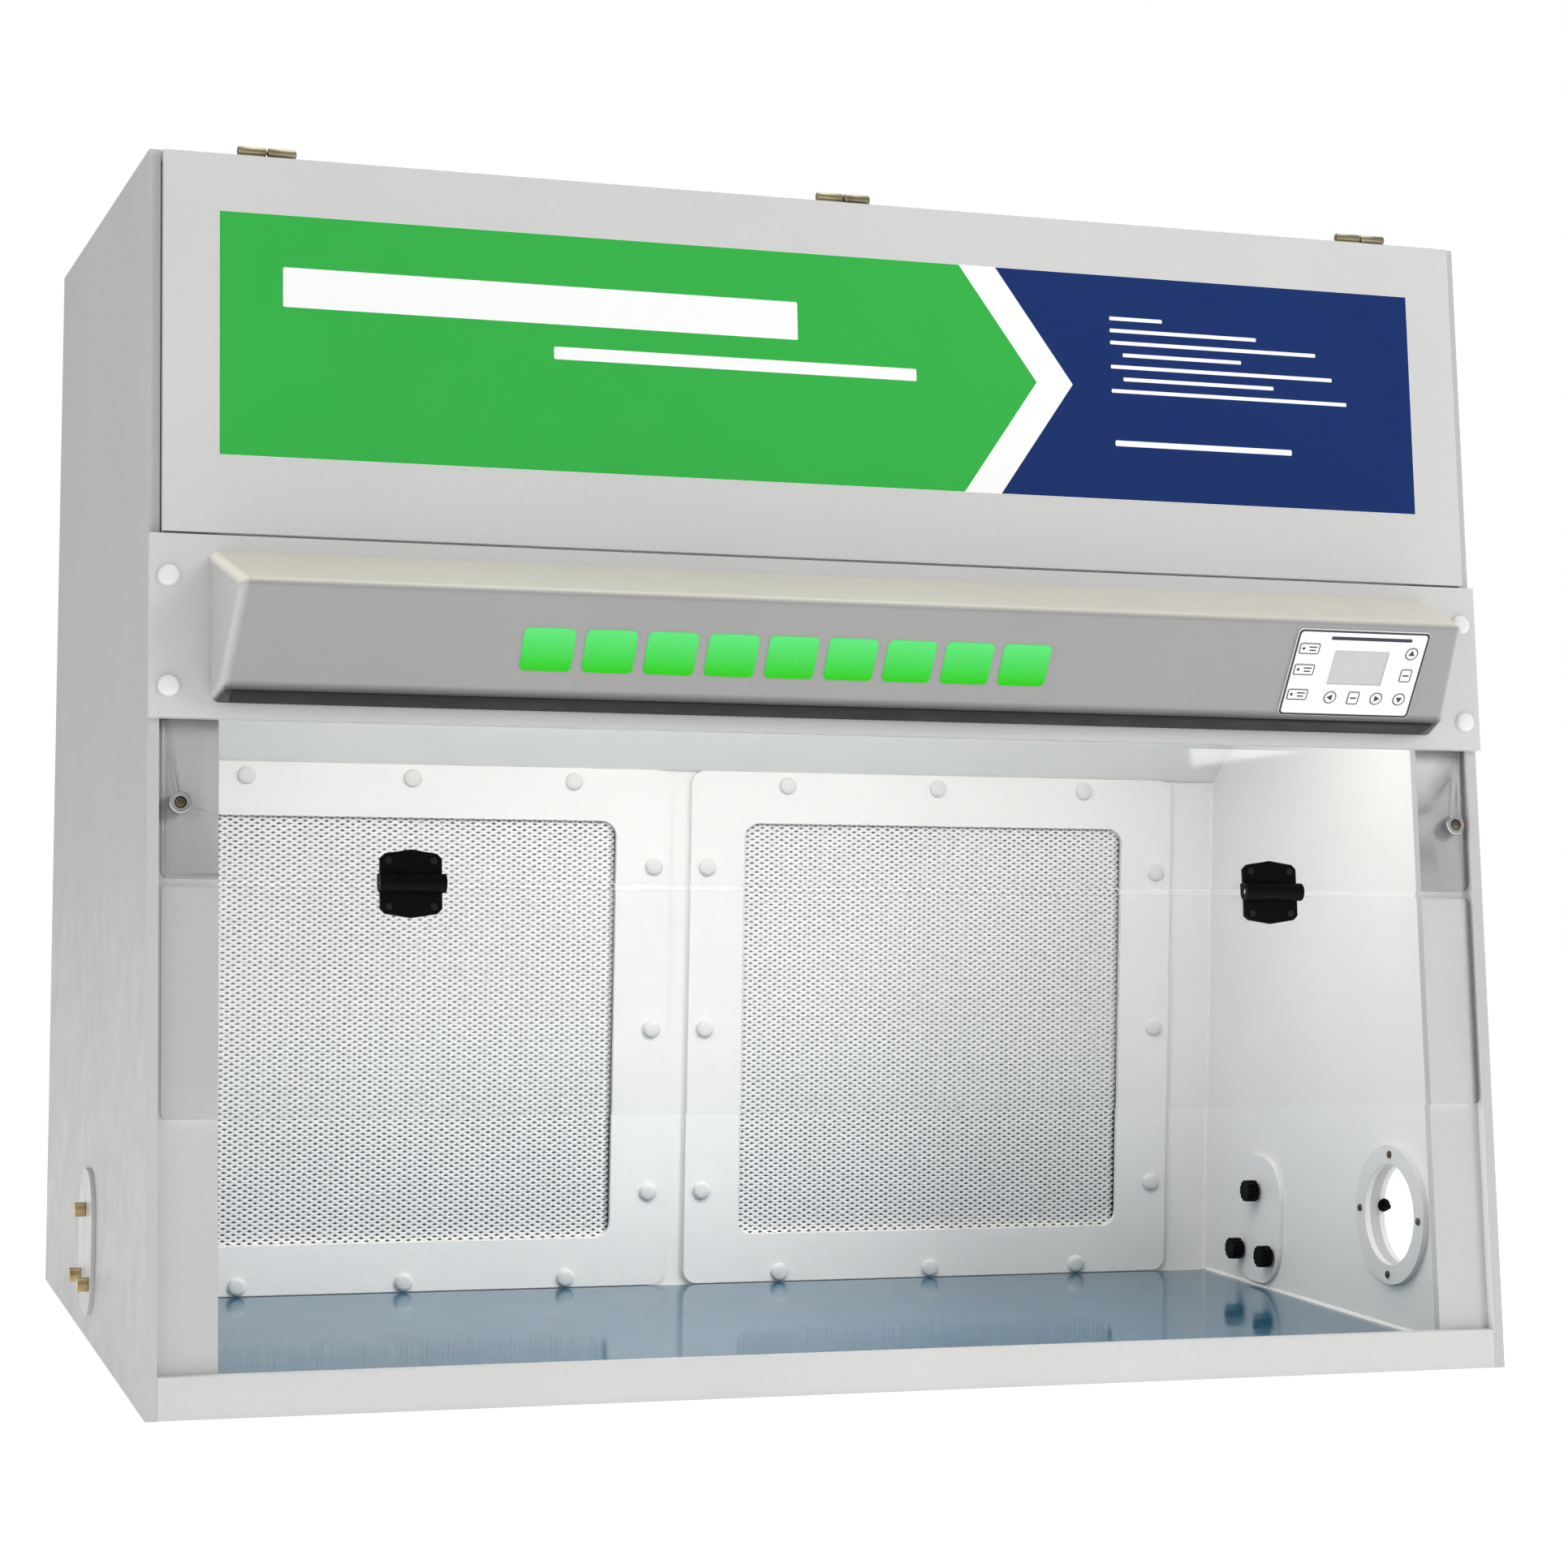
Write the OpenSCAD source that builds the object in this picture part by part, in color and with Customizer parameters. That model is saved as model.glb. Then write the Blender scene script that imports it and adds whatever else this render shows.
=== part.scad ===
// Ductless filtered fume hood, 1.2 m wide: a welded plastic sheet cabinet whose front
// leans back, with a hinged head door, a lit canopy, a two-piece clear sash and two
// pleated prefilters in the back wall of the chamber.

/* [Cabinet] */
// Width over the side walls
body_w = 1219; // [1180:1:1300]
// Height of the cabinet
body_h = 1034; // [1030:1:1060]
// Depth from the front of the base to the back
body_d = 826; // [820:1:860]
// Thickness of the welded plastic sheet
sheet_t = 9.5; // [9:0.5:10]
// Angle by which the whole front leans back
lean = 6.9; // [6.5:0.1:7.2]

/* [Front] */
// Height of the sill in front of the worktop
sill_h = 34; // [28:1:40]
// Height of the lower edge of the swinging pane
flap_low_z = 236; // [225:1:245]
// Height of the hinge line between the two panes
sash_hinge_z = 427; // [425:1:430]
// Height of the lower edge of the fascia
fascia_low_z = 559; // [556:1:562]
// Height of the lower edge of the head door
door_low_z = 712; // [710:1:714]
// Thickness of the clear panes
pane_t = 6; // [5:0.5:6]
// Width of the flange that frames the access opening at each side
stile_w = 49.5; // [45:0.5:55]

/* [Chamber] */
// Depth of the chamber from the front of the base to the filter frames
chamber_d = 606; // [600:1:610]
// Height at which the back wall of the chamber begins to slope forward
slope_low_z = 537; // [536:1:540]
// Height of the flat ceiling of the chamber
ceiling_z = 706; // [704:1:708]
// Thickness of the inner panels
inner_t = 6; // [6:0.5:7]
// Clear opening of a prefilter frame
filter_open = 424; // [415:1:430]

/* [Canopy] */
// Length of the canopy where it meets the fascia
canopy_w = 1122; // [1110:1:1130]
// Height of the sloping front face of the canopy, along its slope
face_h = 99; // [97:1:101]
// Angle by which the front face of the canopy looks down
face_tilt = 30; // [29:0.5:31]
// Thickness of the formed canopy shell
shell_t = 4; // [3:0.5:4]

/* [Controls] */
// Travel of a key
key_travel = 0.5; // [0.3:0.1:0.6]
// Diameter of a service knob
knob_d = 22; // [20:1:24]
// Diameter of the pass-through port
port_d = 96; // [90:1:100]

/* [Hidden] */
$fn = 48;

// Spare length that lets one cutting shape run past the face that it cuts
cut = 1;
// Gap between parts that stand next to each other without touching
gap = 0.4;
half_w = body_w / 2;
inner_x = half_w - sheet_t;

// The canopy's front face starts here and rises forward
face_y = 30;
face_z = 584.3;
canopy_front_y = face_y - face_h * sin(face_tilt);
// Every part is moved so that the whole hood is centred on the Y axis
inlet_lip = 3;
mid_y = (canopy_front_y + body_d + inlet_lip) / 2;

// Lengths along the leaning front, for heights above the floor
function slope(z) = z / cos(lean);
// A point of the side view, for a length along the front and a depth behind it
function front_point(s, n) = [s * sin(lean) + n * cos(lean), s * cos(lean) - n * sin(lean)];

fascia_s0 = slope(fascia_low_z);
door_s0 = slope(door_low_z);
door_s1 = slope(body_h) - 2;
fascia_s1 = door_s0 - 2;
stile_n = sheet_t;
pane_n = stile_n - pane_t;
flap_gap = 0.4;

// Canopy outline in the side view, and the draft of its ends
canopy_s0 = 576;
canopy_s1 = 702;
canopy_profile = [
    front_point(canopy_s0, -sheet_t),
    front_point(canopy_s1, -sheet_t),
    [face_y - face_h * sin(face_tilt), face_z + face_h * cos(face_tilt)],
    [face_y, face_z]];
end_draft = 8.8;

// Prefilters: two square frames side by side
frame_x = 280;
frame_z = 269.5;
frame_w = 538;
frame_h = 526;
frame_raise = 2.2;
tray_w = 470;
cap_ring = 251.5;
cap_pitch = 166;
cap_d = 18;
stud_d = 5;
pleat_pitch = 22;

// Service fixtures and the pass-through port
service_y = 478;
service_z = 78;
knob_spread = 33.5;
knob_top_z = 107;
knob_low_z = 43;
// The fixtures of the left-hand wall sit further forward and higher
left_service_shift = [0, -55, 12];
stem_d = 6;
valve_d = 11;
valve_reach = 6;
outlet_d = 13;
outlet_l = 9.5;
knob_reach = 16;
port_y = 192;
port_z = 116;
port_ring_d = 134;

// Blowers and filters in the head
shelf_z = 780;
filter_h = 100;
deck_z = 908;
blower_x = 300;
blower_y = 430;
impeller_d = 190;
shaft_d = 12;

// Hinges
sash_axis_n = -5;
sash_axis_s = slope(sash_hinge_z);
sash_hinge_x = 393;
sash_barrel_d = 16;
sash_pin_d = 5;
door_axis_y = body_h * tan(lean);
door_knuckle_d = 8;
door_pin_d = 3;
door_hinge_x = 512;
door_hinge_w = 50;
leaf_t = 1.5;

// Controller: a label plate on the canopy's face with nine keys
control_x = 450;
control_w = 130;
control_h = 86;
control_z = 47;
control_t = 2;
label_land = 3;
key_gap = 0.3;
key_rise = 0.4;

module at_body() {
    translate([0, -mid_y, 0]) children();
}

// Local frame of the leaning front: X along it, Y into the hood, Z up along the slope
module at_front() {
    at_body() rotate([-lean, 0, 0]) children();
}

// Local frame of the canopy's face: X along it, Y into the hood, Z up along the face
module at_face() {
    at_body() translate([0, face_y, face_z]) rotate([face_tilt, 0, 0]) children();
}

// Extrudes a side-view outline along X
module along_x(x0, x1) {
    translate([x0, 0, 0]) rotate([90, 0, 90]) linear_extrude(x1 - x0) children();
}

// Extrudes a front-view outline towards the back
module along_y(y0, y1) {
    translate([0, y1, 0]) rotate([90, 0, 0]) linear_extrude(y1 - y0) children();
}

module both_sides() {
    children();
    mirror([1, 0, 0]) children();
}

module block(x0, x1, y0, y1, z0, z1) {
    translate([x0, y0, z0]) cube([x1 - x0, y1 - y0, z1 - z0]);
}

module rod_x(x0, x1, d) {
    translate([x0, 0, 0]) rotate([0, 90, 0]) cylinder(h = x1 - x0, d = d);
}

module rod_y(y0, y1, d) {
    translate([0, y1, 0]) rotate([90, 0, 0]) cylinder(h = y1 - y0, d = d);
}

module round_rect(w, h, r) {
    square([w - 2 * r, h], center = true);
    square([w, h - 2 * r], center = true);
    for (x = [-1, 1], z = [-1, 1]) {
        translate([x * (w / 2 - r), z * (h / 2 - r)]) circle(r = r);
    }
}

// Places its children at the twelve cap positions of one prefilter frame
module at_caps() {
    for (side = [-1, 1], step = [-1, 0, 1]) {
        translate([side * cap_ring, 0, step * cap_pitch]) children();
        translate([step * cap_pitch, 0, side * cap_ring]) children();
    }
}

module at_filters() {
    for (x = [-frame_x, frame_x]) {
        translate([x, 0, frame_z]) children();
    }
}

// Service fixtures are drawn for the right-hand wall; the left-hand set is shifted and mirrored
module left_services() {
    mirror([1, 0, 0]) translate(left_service_shift) children();
}

// Places its children on the three valves of the right-hand wall
module at_valves() {
    translate([0, service_y, knob_top_z]) children();
    translate([0, service_y - knob_spread, knob_low_z]) children();
    translate([0, service_y + knob_spread, knob_low_z]) children();
}

// ---- Cabinet ----

module base_panel() {
    color("whitesmoke") at_body() {
        block(-inner_x, inner_x, sheet_t + 1, body_d - sheet_t, 0, inner_t);
    }
}

module worktop() {
    color("steelblue") at_body() {
        block(-inner_x, inner_x, sheet_t + 6, chamber_d - 1, inner_t, inner_t + 2);
    }
}

module front_sill() {
    back_y = sheet_t;
    lean_y = sill_h * tan(lean);
    color("gainsboro") at_body() along_x(-inner_x, inner_x) {
        polygon([[0, 0], [back_y, 0], [back_y + lean_y, sill_h], [lean_y, sill_h]]);
    }
}

module wall_outline() {
    polygon([[0, 0], [body_d, 0], [body_d, body_h], [body_h * tan(lean), body_h]]);
}

module valve_holes() {
    at_valves() rod_x(inner_x - cut, half_w + cut, valve_d + 1);
}

module left_wall() {
    color("silver") at_body() difference() {
        mirror([1, 0, 0]) along_x(inner_x, half_w) wall_outline();
        left_services() valve_holes();
    }
}

module right_wall() {
    color("silver") at_body() difference() {
        along_x(inner_x, half_w) wall_outline();
        valve_holes();
        translate([0, port_y, port_z]) rod_x(inner_x - cut, half_w + cut, port_d);
    }
}

module back_panel() {
    inlet_x = 470;
    color("gainsboro") at_body() difference() {
        block(-inner_x, inner_x, body_d - sheet_t, body_d, 0, body_h - sheet_t);
        block(inlet_x, inlet_x + 48, body_d - sheet_t - cut, body_d + cut, 860, 888);
    }
}

module exhaust_outline() {
    round_rect(380, 130, 12);
}

module at_exhausts() {
    for (x = [-blower_x, blower_x]) {
        translate([x, 690, 0]) children();
    }
}

module top_panel() {
    front_y = door_axis_y + 1;
    color("gainsboro") at_body() difference() {
        block(-inner_x, inner_x, front_y, body_d, body_h - sheet_t, body_h);
        at_exhausts() translate([0, 0, body_h - sheet_t - cut]) {
            linear_extrude(sheet_t + 2 * cut) exhaust_outline();
        }
    }
}

// Stiles beside the access opening, joined to the frame that the head door closes on
module front_frame() {
    stile_x = inner_x - stile_w;
    head_s0 = door_s0 + 4;
    head_s1 = door_s1 - 8;
    color("gainsboro") {
        at_front() both_sides() {
            difference() {
                block(stile_x, inner_x, stile_n, stile_n + sheet_t, slope(sill_h) - 20, head_s0);
                for (s = [fascia_s0 + 26, fascia_s0 + 117]) {
                    translate([inner_x - 6, 0, s]) rod_y(stile_n - cut, 40, stud_d + 0.4);
                }
            }
        }
        at_front() difference() {
            block(-inner_x, inner_x, stile_n, stile_n + sheet_t, head_s0, head_s1);
            block(-stile_x, stile_x, stile_n - cut, 40, head_s0 + 22, head_s1 - 20);
        }
    }
}

// One bent sheet: the flat ceiling and the slope down to the filter wall
module chamber_ceiling() {
    front_y = ceiling_z * tan(lean) + stile_n + sheet_t + 1;
    bend_y = chamber_d - (ceiling_z - slope_low_z) * 1.2;
    color("white") at_body() along_x(-inner_x, inner_x) {
        polygon([
            [front_y, ceiling_z], [bend_y, ceiling_z], [chamber_d, slope_low_z],
            [chamber_d + inner_t * 1.5, slope_low_z], [bend_y + inner_t / 2, ceiling_z + inner_t],
            [front_y, ceiling_z + inner_t]]);
    }
}

// ---- Filter wall ----

module rear_baffle() {
    baffle_y = chamber_d + inner_t;
    tray_d = 52;
    color("white") at_body() {
        difference() {
            block(-inner_x, inner_x, baffle_y, baffle_y + inner_t, inner_t, slope_low_z - 1);
            at_filters() {
                block(-tray_w / 2, tray_w / 2, baffle_y - cut, baffle_y + 20, -tray_w / 2, tray_w / 2);
                at_caps() rod_y(baffle_y - cut, baffle_y + 20, stud_d + 0.4);
            }
        }
        at_filters() difference() {
            block(-tray_w / 2 - 6, tray_w / 2 + 6, baffle_y + inner_t, baffle_y + tray_d,
                -tray_w / 2 - 6, tray_w / 2 + 6);
            block(-tray_w / 2, tray_w / 2, baffle_y, baffle_y + tray_d - 3, -tray_w / 2, tray_w / 2);
            block(-filter_open / 2, filter_open / 2, baffle_y, baffle_y + tray_d + cut,
                -filter_open / 2, filter_open / 2);
        }
    }
}

module filter_frames() {
    color("whitesmoke") at_body() at_filters() difference() {
        along_y(chamber_d, chamber_d + inner_t) {
            translate([0, frame_raise]) round_rect(frame_w, frame_h, 14);
        }
        along_y(chamber_d - cut, chamber_d + inner_t + cut) {
            round_rect(filter_open, filter_open, 16);
        }
        at_caps() rod_y(chamber_d - cut, chamber_d + inner_t + cut, stud_d + 0.4);
    }
}

// Expanded sheet, drawn here with a coarse diamond pattern
module filter_grilles() {
    grille_y = chamber_d + inner_t;
    cells = 9;
    pitch = 44;
    color("white") at_body() at_filters() along_y(grille_y + 0.1, grille_y + 1.5) difference() {
        square(filter_open + 20, center = true);
        for (i = [0 : cells - 1], j = [0 : cells - 1]) {
            translate([(i - (cells - 1) / 2) * pitch, (j - (cells - 1) / 2) * pitch]) {
                polygon([[-19, 0], [0, -19], [19, 0], [0, 19]]);
            }
        }
    }
}

// Pleated pack in a card frame
module prefilters() {
    pack_y = chamber_d + inner_t + 2.5;
    pack_d = 45;
    inside = tray_w - 12;
    folds = floor(inside / pleat_pitch);
    front_edge = [for (i = [0 : 2 * folds]) [(i - folds) * pleat_pitch / 2, (i % 2) * 30]];
    back_edge = [for (i = [2 * folds : -1 : 0]) [(i - folds) * pleat_pitch / 2, 6 + (i % 2) * 30]];
    color("white") at_body() at_filters() {
        difference() {
            block(-tray_w / 2 + 1, tray_w / 2 - 1, pack_y, pack_y + pack_d,
                -tray_w / 2 + 1, tray_w / 2 - 1);
            block(-inside / 2, inside / 2, pack_y - cut, pack_y + pack_d + cut,
                -inside / 2, inside / 2);
        }
        translate([0, pack_y + 4, -inside / 2]) linear_extrude(inside) {
            polygon(concat(front_edge, back_edge));
        }
    }
}

// White caps on studs: twelve round each prefilter frame and four on the fascia
module cap_screws() {
    color("white") {
        at_body() at_filters() at_caps() {
            rod_y(chamber_d - 5, chamber_d, cap_d);
            rod_y(chamber_d, chamber_d + 2 * inner_t, stud_d);
        }
        at_front() both_sides() for (s = [fascia_s0 + 26, fascia_s0 + 117]) {
            translate([inner_x - 6, 0, s]) {
                rod_y(-sheet_t - 5, -sheet_t, cap_d);
                rod_y(-sheet_t, stile_n + sheet_t, stud_d);
            }
        }
    }
}

// ---- Fascia and canopy ----

module fascia() {
    color("gainsboro") at_front() difference() {
        block(-half_w, half_w, -sheet_t, 0, fascia_s0, fascia_s1);
        both_sides() for (s = [fascia_s0 + 26, fascia_s0 + 117]) {
            translate([inner_x - 6, 0, s]) rod_y(-sheet_t - cut, cut, stud_d + 0.4);
        }
    }
}

// Corner of a closed outline after every side has moved inwards by d
function inset(before, p, after, d) =
    let (a = (p - before) / norm(p - before), b = (after - p) / norm(after - p))
    p + d * (b - a) / (a.x * b.y - a.y * b.x);

function inset_outline(points, d) = let (n = len(points)) [
    for (i = [0 : n - 1]) inset(points[(i + n - 1) % n], points[i], points[(i + 1) % n], d)];

// The canopy's wedge, cut to its drafted ends; wall > 0 gives the hollow inside it
module canopy_wedge(wall) {
    outline = wall > 0 ? inset_outline(canopy_profile, wall) : canopy_profile;
    reach = canopy_w / 2 + 10;
    difference() {
        along_x(-reach, reach) polygon(outline);
        rotate([-lean, 0, 0]) both_sides() {
            translate([canopy_w / 2 - wall, -sheet_t, canopy_s0 - 40]) rotate([0, 0, -end_draft]) {
                translate([0, -160, 0]) cube([60, 200, 240]);
            }
        }
    }
}

lit_x0 = -313;
lit_count = 9;
lit_w = 44;
lit_pitch = 53;
lit_h = 40;
lit_z = 44;

module at_lit_segments() {
    for (i = [0 : lit_count - 1]) {
        translate([lit_x0 + lit_w / 2 + i * lit_pitch, 0, lit_z]) children();
    }
}

module canopy() {
    color("silver") {
        difference() {
            at_body() canopy_wedge(0);
            at_body() canopy_wedge(shell_t);
            at_body() along_x(-canopy_w / 2 + 12, canopy_w / 2 - 12) {
                polygon([
                    front_point(canopy_s0 + 5, -sheet_t + cut), front_point(canopy_s1 - 7, -sheet_t + cut),
                    front_point(canopy_s1 - 9, -sheet_t - 6), front_point(canopy_s0 + 7, -sheet_t - 6)]);
            }
            at_face() {
                at_lit_segments() along_y(-cut, shell_t + cut) square([lit_w, lit_h], center = true);
                translate([control_x, 0, control_z]) along_y(-cut, shell_t + cut) {
                    square([control_w - 2 * label_land, control_h - 12], center = true);
                }
            }
        }
    }
}

// Dark strip along the underside of the canopy
module canopy_lens() {
    p0 = canopy_profile[3];
    p1 = canopy_profile[0];
    run = (p1 - p0) / norm(p1 - p0);
    out = [run.y, -run.x];
    a = p0 + run * 3;
    b = p1 - run * 3;
    color("dimgray") at_body() along_x(-canopy_w / 2 + 14, canopy_w / 2 - 14) {
        polygon([a, b, b + out * 2, a + out * 2]);
    }
}

// Row of plain lit blocks, where the maker's lit mark is on the real hood
module light_segments() {
    color("limegreen") at_face() at_lit_segments() {
        along_y(-0.5, shell_t) square([lit_w, lit_h], center = true);
    }
}

// ---- Controller ----

// Key centres from the middle of the label: [x, z, round?]
key_left_x = -51;
key_right_x = 51;
key_bottom_z = -24;
key_menu_at = [key_left_x, 24, false];
key_mode_at = [key_left_x, 3, false];
key_mute_at = [key_left_x, -22, false];
key_up_at = [key_right_x, 22, true];
key_enter_at = [key_right_x, 0, false];
key_down_at = [key_right_x, key_bottom_z, true];
key_left_at = [-18, key_bottom_z, true];
key_fan_at = [5, key_bottom_z, false];
key_right_at = [28, key_bottom_z, true];
all_keys = [key_menu_at, key_mode_at, key_mute_at, key_up_at, key_enter_at, key_down_at,
    key_left_at, key_fan_at, key_right_at];

module key_outline(at, grow) {
    round_d = 12.5;
    key_w = at.x == key_left_x ? 20 : 11.5;
    key_h = at.x == key_left_x ? 11 : 13;
    if (at[2]) {
        circle(d = round_d + 2 * grow);
    } else {
        round_rect(key_w + 2 * grow, key_h + 2 * grow, 2 + grow);
    }
}

module at_controller() {
    at_face() translate([control_x, 0, control_z]) children();
}

module display_outline(grow) {
    round_rect(54 + 2 * grow, 34 + 2 * grow, 1 + grow);
}

module controller_panel() {
    color("white") at_controller() difference() {
        along_y(-control_t, 0) round_rect(control_w, control_h, 4);
        along_y(-control_t - cut, cut) translate([2, 6]) display_outline(0);
        for (key = all_keys) {
            along_y(-control_t - cut, cut) translate([key.x, key.y]) key_outline(key, key_gap);
        }
    }
}

module controller_display() {
    color("darkgray") at_controller() {
        along_y(-control_t + 0.3, 0) translate([2, 6]) display_outline(-0.1);
    }
}

// Circuit board behind the label, in the canopy's cut-out
module controller_board() {
    board_w = control_w - 14;
    board_h = control_h - 14;
    board_y = key_travel + 1.5;
    color("darkgreen") at_controller() {
        block(-board_w / 2, board_w / 2, board_y, board_y + 1.6, -board_h / 2, board_h / 2);
        block(-25, 29, 0.2, board_y, -10, 22);
        block(-16, 16, board_y + 1.6, board_y + 12, -26, -14);
    }
}

module key(at) {
    color("gainsboro") at_controller() {
        along_y(-control_t - key_rise, -0.2) translate([at.x, at.y]) key_outline(at, 0);
    }
}

module key_menu() { key(key_menu_at); }
module key_mode() { key(key_mode_at); }
module key_mute() { key(key_mute_at); }
module key_up() { key(key_up_at); }
module key_enter() { key(key_enter_at); }
module key_down() { key(key_down_at); }
module key_left() { key(key_left_at); }
module key_fan() { key(key_fan_at); }
module key_right() { key(key_right_at); }

// ---- Sash ----

// Clear sheet with rounded corners; n0 is the depth of its front face
module pane(s0, s1, n0, r) {
    w = 2 * inner_x - 5;
    along_y(n0, n0 + pane_t) translate([0, (s0 + s1) / 2]) round_rect(w, s1 - s0, r);
}

pane_screw_x = 583;
pane_screw_s = slope(491);
hinge_screw_x = 19;
hinge_screw_s = 19;

module at_sash_hinges() {
    for (x = [-sash_hinge_x, sash_hinge_x]) {
        translate([x, 0, sash_axis_s]) children();
    }
}

// Two screw positions of one leaf, above the axis for side = 1 and below it for side = -1
module at_leaf_screws(side) {
    for (x = [-hinge_screw_x, hinge_screw_x]) {
        translate([x, 0, side * hinge_screw_s]) children();
    }
}

module upper_pane() {
    color("lightcyan", 0.4) at_front() difference() {
        pane(sash_axis_s + 2, slope(574), pane_n, 8);
        for (x = [-pane_screw_x, pane_screw_x]) {
            translate([x, 0, pane_screw_s]) rod_y(pane_n - cut, stile_n + cut, stud_d + 0.4);
        }
        at_sash_hinges() at_leaf_screws(1) rod_y(pane_n - cut, stile_n + cut, 4.2);
    }
}

module lower_pane() {
    color("lightcyan", 0.4) at_front() difference() {
        pane(slope(flap_low_z), sash_axis_s - 3, pane_n - flap_gap, 5);
        at_sash_hinges() at_leaf_screws(-1) rod_y(pane_n - 2, stile_n, 4.2);
    }
}

// Washer-head screws through the pane, and the upper screws of the hinges
module sash_screws() {
    color("darkgoldenrod") at_front() {
        for (x = [-pane_screw_x, pane_screw_x]) {
            translate([x, 0, pane_screw_s]) {
                rod_y(pane_n - 1.2, pane_n, 12);
                rod_y(pane_n - 4, pane_n - 1.2, 8.5);
                rod_y(pane_n, stile_n, stud_d);
            }
        }
        at_sash_hinges() at_leaf_screws(1) {
            rod_y(pane_n - 5.4, pane_n - 4.5, 6);
            rod_y(pane_n - 4.5, pane_n + pane_t, 4);
            rod_y(pane_n + pane_t, pane_n + pane_t + 3, 8);
        }
    }
}

module flap_screws() {
    flap_n = pane_n - flap_gap;
    color("dimgray") at_front() at_sash_hinges() at_leaf_screws(-1) {
        rod_y(flap_n - 5.4, flap_n - 4.5, 6);
        rod_y(flap_n - 4.5, flap_n + pane_t, 4);
        rod_y(flap_n + pane_t, flap_n + pane_t + 3, 8);
    }
}

// Leaf outline with a peaked outer edge, for the half above the axis
module leaf_outline() {
    polygon([[-26, 2.5], [26, 2.5], [26, 21], [22, 25], [0, 28.5], [-22, 25], [-26, 21]]);
}

// Plate of one leaf, with its screw holes and room for the other leaf's knuckles
module hinge_leaf(n0, side) {
    room_d = sash_barrel_d + 1;
    difference() {
        along_y(n0 - 4.5, n0) scale([1, side]) leaf_outline();
        at_leaf_screws(side) rod_y(n0 - 6, n0 + cut, 4.2);
        translate([0, sash_axis_n, 0]) {
            if (side > 0) {
                rod_x(-13.3, 13.3, room_d);
            } else {
                for (x = [-30, 13]) {
                    rod_x(x, x + 17, room_d);
                }
            }
        }
    }
}

module barrel(x0, x1) {
    translate([0, sash_axis_n, 0]) difference() {
        rod_x(x0, x1, sash_barrel_d);
        rod_x(x0 - cut, x1 + cut, sash_pin_d + 0.1);
    }
}

// Web from a leaf to its knuckle, clear of the pin
module knuckle_web(x0, x1, n0, side) {
    z0 = side > 0 ? 2.5 : -8;
    difference() {
        block(x0, x1, sash_axis_n, n0, z0, z0 + 5.5);
        translate([0, sash_axis_n, 0]) rod_x(x0 - cut, x1 + cut, sash_barrel_d - 3);
    }
}

module sash_hinge_tops() {
    color("black") at_front() at_sash_hinges() {
        hinge_leaf(pane_n, 1);
        for (x = [-28, 13.3]) {
            barrel(x, x + 14.7);
            knuckle_web(x, x + 12.7, pane_n - 0.5, 1);
        }
    }
}

module sash_hinge_flaps() {
    color("black") at_front() at_sash_hinges() {
        hinge_leaf(pane_n - flap_gap, -1);
        barrel(-13, 13);
        knuckle_web(-13, 13, pane_n - flap_gap - 0.5, -1);
    }
}

module sash_hinge_pins() {
    color("silver") at_front() at_sash_hinges() {
        translate([0, sash_axis_n, 0]) rod_x(-27.5, 27.5, sash_pin_d);
    }
}

// ---- Head door ----

module head_door() {
    color("gainsboro") at_front() {
        block(-inner_x + 1, inner_x - 1, -sheet_t, -0.3, door_s0, door_s1);
    }
}

// Printed film on the door: a green field and a blue field with a bare chevron between
decal_half = 553;
decal_s0 = slope(777);
decal_s1 = slope(983);
decal_t = 0.4;
chevron = 72;

module door_decal() {
    mid = (decal_s0 + decal_s1) / 2;
    color("royalblue") at_front() along_y(-sheet_t - decal_t, -sheet_t) {
        polygon([[-decal_half, decal_s0], [105, decal_s0], [105 + chevron, mid], [105, decal_s1],
            [-decal_half, decal_s1]]);
        polygon([[decal_half, decal_s0], [decal_half, decal_s1], [140, decal_s1],
            [140 + chevron, mid], [140, decal_s0]]);
    }
}

module at_door_hinges() {
    for (x = [-door_hinge_x, 0, door_hinge_x]) {
        translate([x, door_axis_y, body_h + door_knuckle_d / 2]) children();
    }
}

module door_knuckle(x0, x1, bore) {
    difference() {
        rod_x(x0, x1, door_knuckle_d);
        rod_x(x0 - cut, x1 + cut, bore);
    }
}

module door_hinge_tops() {
    low = -door_knuckle_d / 2;
    half = door_hinge_w / 2;
    color("darkkhaki") at_body() at_door_hinges() difference() {
        union() {
            door_knuckle(0.2, half, door_pin_d);
            block(-half, half, 6, 22, low, low + leaf_t);
            block(0.2, half, 2.5, 6, low, low + leaf_t);
        }
        for (x = [-16, 16]) {
            translate([x, 15, low - cut]) cylinder(h = 4, d = 4);
        }
    }
}

module door_hinge_flaps() {
    half = door_hinge_w / 2;
    door_top = door_s1 * cos(lean) - body_h - door_knuckle_d / 2;
    color("darkkhaki") at_body() at_door_hinges() {
        door_knuckle(-half, -0.2, door_pin_d + 0.1);
        block(-half, -0.2, -6.5, -2.6, -door_knuckle_d / 2, -door_knuckle_d / 2 + leaf_t + 1);
        block(-half, half, -9, -5, door_top + 1.2, -door_knuckle_d / 2 + leaf_t + 1);
    }
}

module door_hinge_pins() {
    half = door_hinge_w / 2;
    color("darkkhaki") at_body() at_door_hinges() rod_x(-half, half, door_pin_d);
}

// ---- Head ----

module filter_shelf() {
    front_y = shelf_z * tan(lean) + 26;
    color("white") at_body() difference() {
        block(-inner_x, inner_x, front_y, body_d - sheet_t, shelf_z, shelf_z + inner_t);
        both_sides() block(40, inner_x - 40, front_y + 40, 660, shelf_z - cut, shelf_z + 10);
    }
}

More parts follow.
